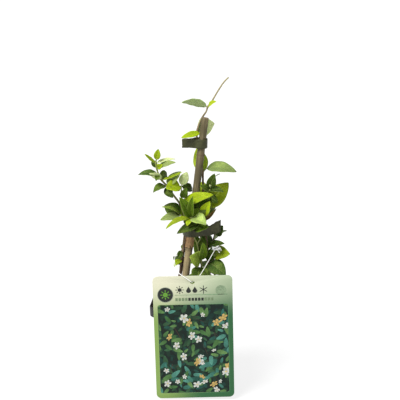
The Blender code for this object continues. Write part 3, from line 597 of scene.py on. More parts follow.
class Nodes:
    """Adds and links nodes in a tree, so that each material reads as a short recipe."""

    def __init__(self, tree):
        self.tree = tree

    def add(self, kind, values=None, **settings):
        """A new node with its settings, and its inputs fed."""
        node = self.tree.nodes.new(kind)
        for key, value in settings.items():
            setattr(node, key, value)
        for key, value in (values or {}).items():
            self.feed(node.inputs[key], value)
        return node

    def feed(self, socket, value):
        """Links what comes from another node, and sets what is plain."""
        if isinstance(value, bpy.types.NodeSocket):
            self.tree.links.new(value, socket)
        elif isinstance(value, bpy.types.Node):
            self.tree.links.new(value.outputs[0], socket)
        elif isinstance(value, tuple) and len(value) == 3 and socket.type == "RGBA":
            socket.default_value = (*value, 1.0)
        else:
            socket.default_value = value

    def math(self, operation, a, b=0.0, clamp=False):
        """One sum."""
        return self.add("ShaderNodeMath", {0: a, 1: b}, operation=operation, use_clamp=clamp).outputs[0]

    def times(self, a, b):
        """One value multiplied by another."""
        return self.math("MULTIPLY", a, b)

    def plus(self, a, b, clamp=False):
        """Two values added up."""
        return self.math("ADD", a, b, clamp)

    def minus(self, a, b, clamp=False):
        """The second value taken from the first."""
        return self.math("SUBTRACT", a, b, clamp)

    def ramp(self, value, low, high, low_out=0.0, high_out=1.0):
        """A smooth step from low to high."""
        values = {"Value": value, "From Min": low, "From Max": high, "To Min": low_out, "To Max": high_out}
        return self.add("ShaderNodeMapRange", values, interpolation_type="SMOOTHSTEP").outputs[0]

    def mix(self, share, a, b):
        """The first colour turned into the second by a share."""
        node = self.add("ShaderNodeMix", data_type="RGBA")
        self.feed(node.inputs["Factor"], share)
        self.feed(node.inputs["A"], a)
        self.feed(node.inputs["B"], b)
        return node.outputs["Result"]

    def wash(self, skin, mask, strength, colour):
        """The skin with a colour laid over it where the mask is."""
        return self.mix(self.times(mask, strength), skin, colour)

    def noise(self, vector, scale, detail=3.0, rough=0.5):
        """Noise between 0 and 1."""
        values = {"Vector": vector, "Scale": scale, "Detail": detail, "Roughness": rough}
        return self.add("ShaderNodeTexNoise", values).outputs["Fac"]

    def scaled(self, vector, scale):
        """The coordinates with each axis scaled."""
        return self.add("ShaderNodeMapping", {"Vector": vector, "Scale": scale})

    def own(self, name, output="Color"):
        """What the mesh itself carries under that name."""
        return self.add("ShaderNodeAttribute", attribute_name=name).outputs[output]

    def mottle(self, vector, broad, fine):
        """The mottling group's mask at two scales."""
        values = {"Vector": vector, "Broad Scale": broad, "Fine Scale": fine}
        return self.add("ShaderNodeGroup", values, node_tree=mottle_group()).outputs[0]


def new_material(name):
    """A material with an empty tree, its nodes, its Principled shader and its object coordinates."""
    made = bpy.data.materials.new(name)
    made.use_nodes = True
    nodes = Nodes(made.node_tree)
    shader = made.node_tree.nodes["Principled BSDF"]
    place = nodes.add("ShaderNodeTexCoord").outputs["Object"]
    return made, nodes, shader, place


def surface(nodes, shader, skin, roughness, height=None, depth=0.0, strength=0.0):
    """Feeds a shader its colour and roughness, and a bump of that depth where a height is given."""
    nodes.feed(shader.inputs["Base Color"], skin)
    nodes.feed(shader.inputs["Roughness"], roughness)
    if height is not None:
        bump = nodes.add("ShaderNodeBump", {"Height": height, "Distance": depth, "Strength": strength})
        nodes.feed(shader.inputs["Normal"], bump)


def translucent(shader, red, green, blue):
    """Lets light into a blade, to a depth in metres for each colour."""
    shader.inputs["Subsurface Weight"].default_value = 0.18
    shader.inputs["Subsurface Radius"].default_value = (red, green, blue)
    shader.inputs["Subsurface Scale"].default_value = 1.0


def mottle_group():
    """Mottling: a fine and a broad noise as one mask."""
    tree, fresh = group(
        "Mottle",
        [("Vector", "NodeSocketVector", None), ("Broad Scale", "NodeSocketFloat", 60.0),
         ("Fine Scale", "NodeSocketFloat", 600.0), ("Fine Share", "NodeSocketFloat", 0.4)],
        [("Mask", "NodeSocketFloat")],
    )
    if fresh:
        nodes = Nodes(tree)
        given = nodes.add("NodeGroupInput").outputs
        broad = nodes.noise(given["Vector"], given["Broad Scale"], 3.0)
        fine = nodes.noise(given["Vector"], given["Fine Scale"], 4.0, 0.6)
        fine_part = nodes.times(nodes.minus(fine, 0.5), given["Fine Share"])
        mask = nodes.plus(broad, fine_part, clamp=True)
        nodes.add("NodeGroupOutput", {"Mask": mask})
    return tree


def vein_group():
    """A leaf's veins from its own map: the midrib, the side veins that curve forward, the fine net, and a
    band along the margin for a painted highlight.
    """
    tree, fresh = group(
        "Leaf Veins",
        [("Map", "NodeSocketVector", None), ("Pairs", "NodeSocketFloat", 6.0)],
        [("Midrib", "NodeSocketFloat"), ("Side Veins", "NodeSocketFloat"), ("Net", "NodeSocketFloat"),
         ("Margin", "NodeSocketFloat")],
    )
    if fresh:
        nodes = Nodes(tree)
        given = nodes.add("NodeGroupInput").outputs
        parts = nodes.add("ShaderNodeSeparateXYZ", {0: given["Map"]}).outputs
        side = nodes.times(nodes.math("ABSOLUTE", nodes.minus(parts[0], 0.5)), 2.0)
        taper = nodes.minus(0.1, nodes.times(parts[1], 0.055))
        midrib = nodes.minus(1.0, nodes.math("DIVIDE", side, taper), clamp=True)
        wobble = nodes.times(nodes.noise(given["Map"], 9.0), 0.5)
        swept = nodes.times(nodes.math("POWER", side, 0.8), 1.5)
        phase = nodes.minus(nodes.times(parts[1], given["Pairs"]), swept)
        phase = nodes.math("FRACT", nodes.plus(phase, nodes.plus(wobble, 4.0)))
        ridge = nodes.times(nodes.math("ABSOLUTE", nodes.minus(phase, 0.5)), 2.0)
        side_veins = nodes.times(nodes.ramp(ridge, 0.84, 1.0), nodes.ramp(side, 1.0, 0.5))
        stretched = nodes.scaled(given["Map"], (9.0, 18.0, 1.0))
        cells = nodes.add("ShaderNodeTexVoronoi", {"Vector": stretched, "Scale": 1.6},
                          feature="DISTANCE_TO_EDGE")
        net = nodes.ramp(cells.outputs["Distance"], 0.12, 0.0)
        margin = nodes.ramp(side, 0.86, 0.99)
        masks = {"Midrib": midrib, "Side Veins": side_veins, "Net": net, "Margin": margin}
        nodes.add("NodeGroupOutput", masks)
    return tree


def vein_masks(nodes):
    """The vein group on the blade's own map. Returns its outputs."""
    blade_map = nodes.add("ShaderNodeUVMap", uv_map="blade")
    return nodes.add("ShaderNodeGroup", {"Map": blade_map}, node_tree=vein_group()).outputs


def leaf_upper_material(settings):
    """The waxy upper side: each blade's own green, with paler veins pressed in and a pale rim along its
    margin that is a painted highlight.
    """
    made, nodes, shader, place = new_material("leaf_upper")
    green = nodes.own("tint")
    mottle = nodes.mottle(place, 140.0, 900.0)
    dark = nodes.mix(0.25, green, (0.01, 0.03, 0.002))
    skin = nodes.mix(nodes.ramp(mottle, 0.3, 0.75), dark, green)
    veins = vein_masks(nodes)
    vein_colour = nodes.mix(0.3, green, tuple(settings.vein))
    # The veins are washed paler, and the margin's wash paints a pale rim along each blade's edge as a painted
    # highlight.
    for part, strength in (("Side Veins", 0.3), ("Net", 0.14), ("Midrib", 0.7), ("Margin", 0.5)):
        skin = nodes.wash(skin, veins[part], strength, vein_colour)
    pressed = nodes.plus(veins["Midrib"], nodes.times(veins["Side Veins"], 0.6))
    height = nodes.minus(nodes.times(mottle, 0.3), pressed)
    height = nodes.minus(height, nodes.times(veins["Net"], 0.12))
    roughness = nodes.ramp(mottle, 0.2, 0.8, 0.52, 0.34)
    surface(nodes, shader, skin, roughness, height, 0.00035, 0.7)
    translucent(shader, 0.0012, 0.0018, 0.0004)
    shader.inputs["Specular IOR Level"].default_value = 0.32
    nodes.feed(shader.inputs["Specular Tint"], (0.85, 1.0, 0.2))
    return made


def leaf_under_material(settings):
    """The dull underside: paler, with its veins standing out."""
    made, nodes, shader, place = new_material("leaf_underside")
    green = nodes.own("tint")
    mottle = nodes.mottle(place, 160.0, 1100.0)
    bloom = nodes.own("bloom", "Fac")
    pale = nodes.mix(bloom, green, tuple(settings.underside))
    skin = nodes.mix(nodes.ramp(mottle, 0.25, 0.75), nodes.mix(0.22, pale, (0.05, 0.09, 0.03)), pale)
    veins = vein_masks(nodes)
    skin = nodes.wash(skin, veins["Side Veins"], 0.35, (0.45, 0.50, 0.28))
    skin = nodes.wash(skin, veins["Midrib"], 0.6, (0.48, 0.52, 0.26))
    height = nodes.plus(veins["Midrib"], nodes.times(veins["Side Veins"], 0.6))
    height = nodes.plus(height, nodes.times(veins["Net"], 0.15))
    roughness = nodes.ramp(mottle, 0.2, 0.8, 0.72, 0.55)
    surface(nodes, shader, skin, roughness, height, 0.0003, 0.7)
    translucent(shader, 0.0012, 0.0018, 0.0006)
    shader.inputs["Specular IOR Level"].default_value = 0.15
    nodes.feed(shader.inputs["Specular Tint"], (0.85, 1.0, 0.4))
    return made


def bark_material():
    """Young bark: each stem's own colour, streaked lengthwise and lightly fibrous."""
    made, nodes, shader, place = new_material("stem_bark")
    own = nodes.own("tint")
    drawn_out = nodes.scaled(place, (1.0, 1.0, 0.12))
    streak = nodes.noise(drawn_out, 1300.0, 4.0, 0.6)
    blotch = nodes.noise(place, 260.0, 2.0)
    skin = nodes.mix(nodes.ramp(streak, 0.35, 0.7), nodes.mix(0.55, own, (0.02, 0.012, 0.006)), own)
    skin = nodes.mix(nodes.ramp(blotch, 0.5, 0.8, 0.0, 0.35), skin, (0.45, 0.36, 0.22))
    roughness = nodes.ramp(streak, 0.2, 0.8, 0.75, 0.5)
    surface(nodes, shader, skin, roughness, streak, 0.0004, 0.6)
    return made


def cane_material(settings):
    """Bamboo skin: straw to weathered olive brown, streaked along the cane, stained below each knot, and
    darker in its upper part as painted shade.
    """
    made, nodes, shader, place = new_material("bamboo_skin")
    lean = (CANE_TOP - CANE_FOOT).normalized()
    upright = lean.rotation_difference(Vector((0, 0, 1))).to_euler()
    along = nodes.add("ShaderNodeMapping", {"Vector": place, "Rotation": tuple(upright)})
    drawn_out = nodes.scaled(along, (1.0, 1.0, 0.02))
    streak = nodes.noise(drawn_out, 900.0, 5.0, 0.65)
    broad = nodes.noise(nodes.scaled(along, (1.0, 1.0, 0.25)), 110.0)
    stain = nodes.plus(nodes.times(broad, 0.65), nodes.times(streak, 0.45))
    own = nodes.own("stain", "Fac")
    height = nodes.add("ShaderNodeSeparateXYZ", {0: place}).outputs[2]
    # Darker from about 150 to 190 mm up: painted shade on the cane where the leaves hang over it.
    stain = nodes.plus(stain, nodes.ramp(height, 0.15, 0.19, 0.0, 0.11))
    skin = nodes.mix(nodes.ramp(stain, 0.40, 0.72), tuple(settings.light), tuple(settings.dark))
    skin = nodes.mix(own, skin, (0.085, 0.048, 0.022))
    speck = nodes.ramp(nodes.noise(along, 1500.0, 2.0), 0.68, 0.78)
    skin = nodes.wash(skin, speck, 0.5, (0.05, 0.035, 0.018))
    shader.inputs["Specular IOR Level"].default_value = 0.3
    roughness = nodes.ramp(streak, 0.2, 0.8, 0.68, 0.5)
    surface(nodes, shader, skin, roughness, streak, 0.00025, 0.5)
    return made


def pith_material():
    """The dark, dry inside of the cane's cut end."""
    made, nodes, shader, place = new_material("bamboo_pith")
    mottle = nodes.noise(place, 1800.0, 4.0)
    skin = nodes.mix(mottle, (0.30, 0.23, 0.13), (0.07, 0.045, 0.02))
    surface(nodes, shader, skin, 0.9)
    return made


def tape_material(settings):
    """Dull stretched tape: dark olive, rubbed paler in places, faintly ribbed along its length."""
    made, nodes, shader, place = new_material("tie_tape")
    mottle = nodes.mottle(place, 190.0, 1500.0)
    colour = tuple(settings.colour)
    skin = nodes.mix(nodes.ramp(mottle, 0.35, 0.75), colour, tuple(1.6 * c + 0.004 for c in colour))
    tape_map = nodes.add("ShaderNodeUVMap", uv_map="strip")
    parts = nodes.add("ShaderNodeSeparateXYZ", {0: tape_map}).outputs
    rib = nodes.math("SINE", nodes.times(parts[0], 60.0))
    edge = nodes.ramp(nodes.math("ABSOLUTE", nodes.minus(parts[0], 0.5)), 0.44, 0.5)
    skin = nodes.wash(skin, edge, 0.5, (0.055, 0.055, 0.02))
    shader.inputs["Specular IOR Level"].default_value = 0.35
    height = nodes.plus(nodes.times(rib, 0.12), mottle)
    roughness = nodes.ramp(mottle, 0.2, 0.8, 0.5, 0.36)
    surface(nodes, shader, skin, roughness, height, 0.0005, 0.5)
    return made


def card_material(settings):
    """Printed card: cream at the top, fresh green down the left, forest green to the lower right."""
    made, nodes, shader, place = new_material("label_card")
    card_map = nodes.add("ShaderNodeUVMap", uv_map="card")
    parts = nodes.add("ShaderNodeSeparateXYZ", {0: card_map}).outputs
    body = nodes.mix(nodes.ramp(parts[0], 0.06, 0.62), tuple(settings.fresh), tuple(settings.forest))
    head = nodes.mix(nodes.ramp(parts[0], 0.1, 1.1), tuple(settings.cream), tuple(settings.reed))
    slant = nodes.minus(parts[1], nodes.times(parts[0], 0.04))
    skin = nodes.mix(nodes.ramp(slant, 0.62, 0.96), body, head)
    fibre = nodes.noise(place, 2500.0, 3.0)
    skin = nodes.wash(skin, fibre, 0.05, (0.5, 0.5, 0.4))
    shader.inputs["Specular IOR Level"].default_value = 0.15
    roughness = nodes.ramp(fibre, 0.3, 0.7, 0.34, 0.42)
    surface(nodes, shader, skin, roughness, fibre, 0.00004, 0.3)
    return made


def ink_material():
    """Printing ink on the card: each shape's own colour, a little uneven."""
    made, nodes, shader, place = new_material("label_ink")
    own = nodes.own("tint")
    uneven = nodes.noise(place, 900.0, 4.0, 0.6)
    dense = nodes.mix(0.75, own, (0.004, 0.012, 0.006))
    skin = nodes.mix(nodes.ramp(uneven, 0.35, 0.7, 0.0, 0.45), own, dense)
    shader.inputs["Specular IOR Level"].default_value = 0.2
    roughness = nodes.ramp(uneven, 0.3, 0.7, 0.36, 0.44)
    surface(nodes, shader, skin, roughness)
    return made


def thread_material():
    """White twisted thread."""
    made, nodes, shader, place = new_material("white_thread")
    twist = nodes.add("ShaderNodeTexWave", {"Vector": place, "Scale": 900.0, "Distortion": 1.5},
                      bands_direction="DIAGONAL").outputs["Fac"]
    skin = nodes.mix(twist, (0.72, 0.73, 0.68), (0.9, 0.9, 0.87))
    surface(nodes, shader, skin, 0.4, twist, 0.0001, 0.5)
    return made


def clear_material():
    """Thin clear plastic, clouded by its creases."""
    made, nodes, shader, place = new_material("clear_tab")
    crease = nodes.noise(place, 900.0, 3.0)
    shader.inputs["Transmission Weight"].default_value = 0.45
    skin = nodes.mix(crease, (0.55, 0.57, 0.58), (0.92, 0.93, 0.95))
    roughness = nodes.ramp(crease, 0.3, 0.7, 0.12, 0.35)
    surface(nodes, shader, skin, roughness)
    return made


def pot_material():
    """Recycled black plastic: satin, with faint moulding ripple, scuffs and dried splashes of soil."""
    made, nodes, shader, place = new_material("pot_plastic")
    mottle = nodes.mottle(place, 45.0, 700.0)
    skin = nodes.mix(nodes.ramp(mottle, 0.45, 0.8), (0.011, 0.011, 0.012), (0.03, 0.029, 0.028))
    dust = nodes.ramp(nodes.noise(place, 320.0, 5.0, 0.65), 0.62, 0.78)
    skin = nodes.wash(skin, dust, 0.28, (0.13, 0.10, 0.07))
    roughness = nodes.ramp(mottle, 0.2, 0.85, 0.34, 0.55)
    surface(nodes, shader, skin, roughness, mottle, 0.0003, 0.3)
    return made


def soil_material():
    """Dark moist compost with paler fibres."""
    made, nodes, shader, place = new_material("compost")
    crumb = nodes.noise(place, 420.0, 6.0, 0.7)
    fibre = nodes.noise(nodes.scaled(place, (1.0, 0.2, 1.0)), 900.0, 3.0)
    skin = nodes.mix(nodes.ramp(crumb, 0.35, 0.7), (0.012, 0.007, 0.005), (0.055, 0.032, 0.019))
    skin = nodes.mix(nodes.ramp(fibre, 0.62, 0.72, 0.0, 0.5), skin, (0.16, 0.10, 0.055))
    surface(nodes, shader, skin, 0.95, crumb, 0.0015, 0.9)
    return made


def grit_material():
    """White grains of perlite."""
    made, nodes, shader, place = new_material("perlite")
    rough = nodes.noise(place, 1600.0, 4.0)
    skin = nodes.mix(rough, (0.45, 0.42, 0.36), (0.8, 0.78, 0.72))
    surface(nodes, shader, skin, 0.9, rough, 0.0005, 0.8)
    return made


class VINE_OT_foliage(bpy.types.Operator):
    """Grow the leafy stems: bark, stalks and veined blades"""

    bl_idname = "vine.foliage"
    bl_label = "Leafy Stems"

    def execute(self, context):
        settings = context.scene.vine_plant
        bark = bark_material()
        upper = leaf_upper_material(settings)
        under = leaf_under_material(settings)
        for number, node in enumerate(STEMS):
            self.grow_stems(node, settings, bark)
            self.grow_blades(node, settings, upper, under, random.Random(20 + number))
        return {"FINISHED"}

    def grow_stems(self, node, settings, bark):
        """The stems of one node, with their leaf stalks."""
        bm = bmesh.new()
        tint = bm.verts.layers.float_color.new("tint")
        for key, stem in STEMS[node].items():
            joints = sorted({leaf.joint for leaf in LEAVES[node] if leaf.stem == key})
            stem_into(bm, tint, stem, joints)
        for leaf in LEAVES[node]:
            stem = STEMS[node][leaf.stem]
            root = mm(stem.points[leaf.joint])
            base = blade_base(leaf, root, settings)
            colours = (blend_colour(stem.foot_bark, stem.tip_bark, 0.6), blend_colour(leaf.tint, PALE, 0.35))
            stalk_into(bm, tint, root, base, settings.petiole_radius, colours)
        piece_from(bm, f"{node}_stems", [bark], node)

    def grow_blades(self, node, settings, upper, under, chance):
        """The blades of one node, with the dull material on their undersides."""
        bm = bmesh.new()
        bm.loops.layers.uv.new("blade")
        tint = bm.verts.layers.float_color.new("tint")
        bloom = bm.verts.layers.float.new("bloom")
        for leaf in LEAVES[node]:
            root = mm(STEMS[node][leaf.stem].points[leaf.joint])
            base = blade_base(leaf, root, settings)
            blade_into(bm, tint, bloom, leaf, base, mm(leaf.tip), settings, chance)
        piece = piece_from(bm, f"{node}_blades", [upper, under], node)
        solidify = thicken(piece, "Blade", settings.leaf_thickness, 0.0)
        solidify.material_offset = 1
        solidify.material_offset_rim = 0


def blade_base(leaf, root, settings):
    """Where a leaf's blade begins, at the end of its stalk."""
    if leaf.stalk:
        return root + mm(leaf.stalk)
    reach = mm(leaf.tip) - root
    return root + reach.normalized() * min(settings.petiole_length, 0.2 * reach.length)


class VINE_OT_cane(bpy.types.Operator):
    """Turn the bamboo cane, with its knots, sheath scars and hollow cut end"""

    bl_idname = "vine.cane"
    bl_label = "Bamboo Cane"

    def execute(self, context):
        settings = context.scene.vine_cane
        bm = bmesh.new()
        stain = bm.verts.layers.float.new("stain")
        axis = (CANE_TOP - CANE_FOOT) * MM
        stations = {0.0: (0.0, 0.0), 0.997: (0.0, 0.0), 1.0: (-0.0002, 0.2)}
        for step in range(1, 40):
            stations[step / 40] = (0.0, 0.0)
        for height in CANE_KNOT_HEIGHTS:
            middle = (height - CANE_FOOT.z) / (CANE_TOP.z - CANE_FOOT.z)
            for offset, out, dark in KNOT_PROFILE:
                stations[middle + offset] = (out * settings.knot_swell, dark)
        shares = sorted(stations)
        line = [CANE_FOOT * MM + axis * share for share in shares]
        radii = [settings.radius * (1 - 0.04 * share) + stations[share][0] for share in shares]
        rings = sweep(bm, line, radii, 40)
        for share, ring in zip(shares, rings):
            for vert in ring:
                vert.co += (vert.co - (CANE_FOOT * MM + axis * share)) * 0.03 * noise(vert.co / (11 * MM))
                vert[stain] = stations[share][1] * (0.65 + 0.5 * noise(vert.co / (3 * MM)))
        self.hollow(bm, rings[-1], settings.wall, axis.normalized())
        piece_from(bm, "cane_bamboo", [cane_material(settings), pith_material()], "cane")
        self.sheaths(settings)
        return {"FINISHED"}

    def sheaths(self, settings):
        """Papery sheath above the lower knot, and a strip of bark that peels down the cane's left side."""
        bm = bmesh.new()
        tint = bm.verts.layers.float_color.new("tint")
        self.sheath(bm, tint, settings, (163.5, 179.0), (150, 335), 0.25, 0.0, SHEATH_COLOUR, 2)
        self.sheath(bm, tint, settings, (140.0, 178.0), (128, 214), 0.9, 0.8, BARK_STRIP_COLOUR, 7)
        piece = piece_from(bm, "cane_sheaths", [bark_material()], "cane")
        thicken(piece, "Sheath", 0.0003, 1.0)

    def sheath(self, bm, tint, settings, heights, angles, gap, taper, colour, seed):
        """A ragged sheet round part of the cane, between two heights and two angles in degrees."""
        low, high = heights
        grid = bmesh.ops.create_grid(bm, x_segments=14, y_segments=16, size=0.5)["verts"]
        for vert in grid:
            side, along = vert.co.x, vert.co.y + 0.5
            narrow = 1 - taper * (1 - along)
            ragged = noise(Vector((side * 9, seed, 3 if along > 0.5 else 5))) * abs(along - 0.5) * 7
            height = low + (high - low) * along + ragged
            angle = math.radians((angles[0] + angles[1]) / 2 + (angles[1] - angles[0]) * side * narrow)
            angle += 0.25 * noise(Vector((along * 6, side * 2, seed)))
            share = (height - CANE_FOOT.z) / (CANE_TOP.z - CANE_FOOT.z)
            centre = CANE_FOOT.lerp(CANE_TOP, share) * MM
            peel = gap + 0.5 * abs(side * 2) ** 4 + 0.35 * noise(Vector((along * 5, side * 5, seed)))
            radius = settings.radius + settings.knot_swell + max(0.05, peel) * MM
            vert.co = centre + Vector((math.cos(angle), math.sin(angle), 0)) * radius
            vert[tint] = (*(c * (0.8 + 0.5 * along) for c in colour), 1.0)

    def hollow(self, bm, ring, wall, up):
        """Sinks the cut end inside the wall, and gives what is cut its own material."""
        bm.faces.ensure_lookup_table()
        lid = [f for f in bm.faces if len(f.verts) > 4 and all(v in ring for v in f.verts)]
        bmesh.ops.inset_region(bm, faces=lid, thickness=wall)
        verts = verts_of(bmesh.ops.extrude_face_region(bm, geom=lid))
        bmesh.ops.translate(bm, vec=-up * CANE_HOLLOW_DEPTH * MM, verts=verts)
        bmesh.ops.delete(bm, geom=lid, context="FACES_ONLY")
        for face in bm.faces:
            if all(v in verts or v.co.z > (CANE_TOP.z - 0.4) * MM for v in face.verts):
                face.material_index = 1


class VINE_OT_ties(bpy.types.Operator):
    """Wrap the two plant ties"""

    bl_idname = "vine.ties"
    bl_label = "Plant Ties"

    def execute(self, context):
        settings = context.scene.vine_tie
        tape = tape_material(settings)
        upper = [(x, y, UPPER_TAPE_HEIGHT, 1.0) for x, y in self.plan(UPPER_TAPE_PLAN)]
        self.strip("upper_tie_tape", upper, settings, tape, "upper_tie", 3)
        lower = []
        for x, y in self.plan(LOWER_TAPE_PLAN):
            rise = 2.0 * (x + 9) / 28 + max(0.0, x - 20) * 0.36
            lower.append((x, y, LOWER_TAPE_HEIGHT + rise, 0.85 + 0.035 * min(max(0.0, x - 14), 14)))
        self.strip("lower_tie_tape", lower, settings, tape, "lower_tie", 8)
        return {"FINISHED"}

    def plan(self, points):
        """The smooth way that a strip takes, seen from above."""
        return [(p.x, p.y) for p in catmull_rom([Vector((x, y, 0)) for x, y in points], 6)]

    def strip(self, name, path, settings, tape, node, seed):
        """One strip of tape along a path, whose points also say how wide it is, with ragged edges."""
        bm = bmesh.new()
        bm.loops.layers.uv.new("strip")
        last = len(path) - 1
        grid = bmesh.ops.create_grid(bm, x_segments=8, y_segments=last, size=0.5, calc_uvs=True)["verts"]
        for vert in grid:
            share = vert.co.x * 2
            step = round((vert.co.y + 0.5) * last)
            x, y, z, widen = path[step]
            flap = max(0.0, min(1.0, (x - 18) / 8))
            ragged = (0.35 + 1.3 * flap) * MM * noise(Vector((x * 0.3, share, seed)))
            end = min(step, last - step)
            fray = 0.5 * MM * noise(Vector((share * 3, seed, step))) if end < 2 else 0.0
            crumple = 0.22 * MM * noise(Vector((x, y, z + share * 5)) / 3.5) * min(1.0, end / 3)
            ahead = Vector(path[min(step + 1, last)][:2]) - Vector(path[max(step - 1, 0)][:2])
            out = Vector((ahead.y, -ahead.x, 0)).normalized()
            place = mm((x, y, z)) + out * crumple + Vector((fray, 0, 0))
            vert.co = place + Vector((0, 0, share * (settings.width * widen / 2 + ragged)))
        bmesh.ops.reverse_faces(bm, faces=bm.faces)
        piece = piece_from(bm, name, [tape], node)
        thicken(piece, "Tape", settings.thickness, 0.0)


def card_turn():
    """Stands what lies flat upright, facing the viewer, and rolls it as the card hangs."""
    return Matrix.Rotation(LABEL_ROLL, 4, "Y") @ Matrix.Rotation(math.pi / 2, 4, "X")


def on_card(x, y, lift=0.0):
    """A place on the card's face, in millimetres from its centre, as metres."""
    return LABEL_CENTRE * MM + card_turn() @ Vector((x * MM, y * MM, lift))


def card_matrix(x, y, turn=0.0, size=1.0, lift=0.0):
    """Places a flat shape of one millimetre on the card's face."""
    place = Matrix.Translation(on_card(x, y, lift)) @ card_turn()
    return place @ Matrix.Rotation(turn, 4, "Z") @ Matrix.Scale(size * MM, 4)


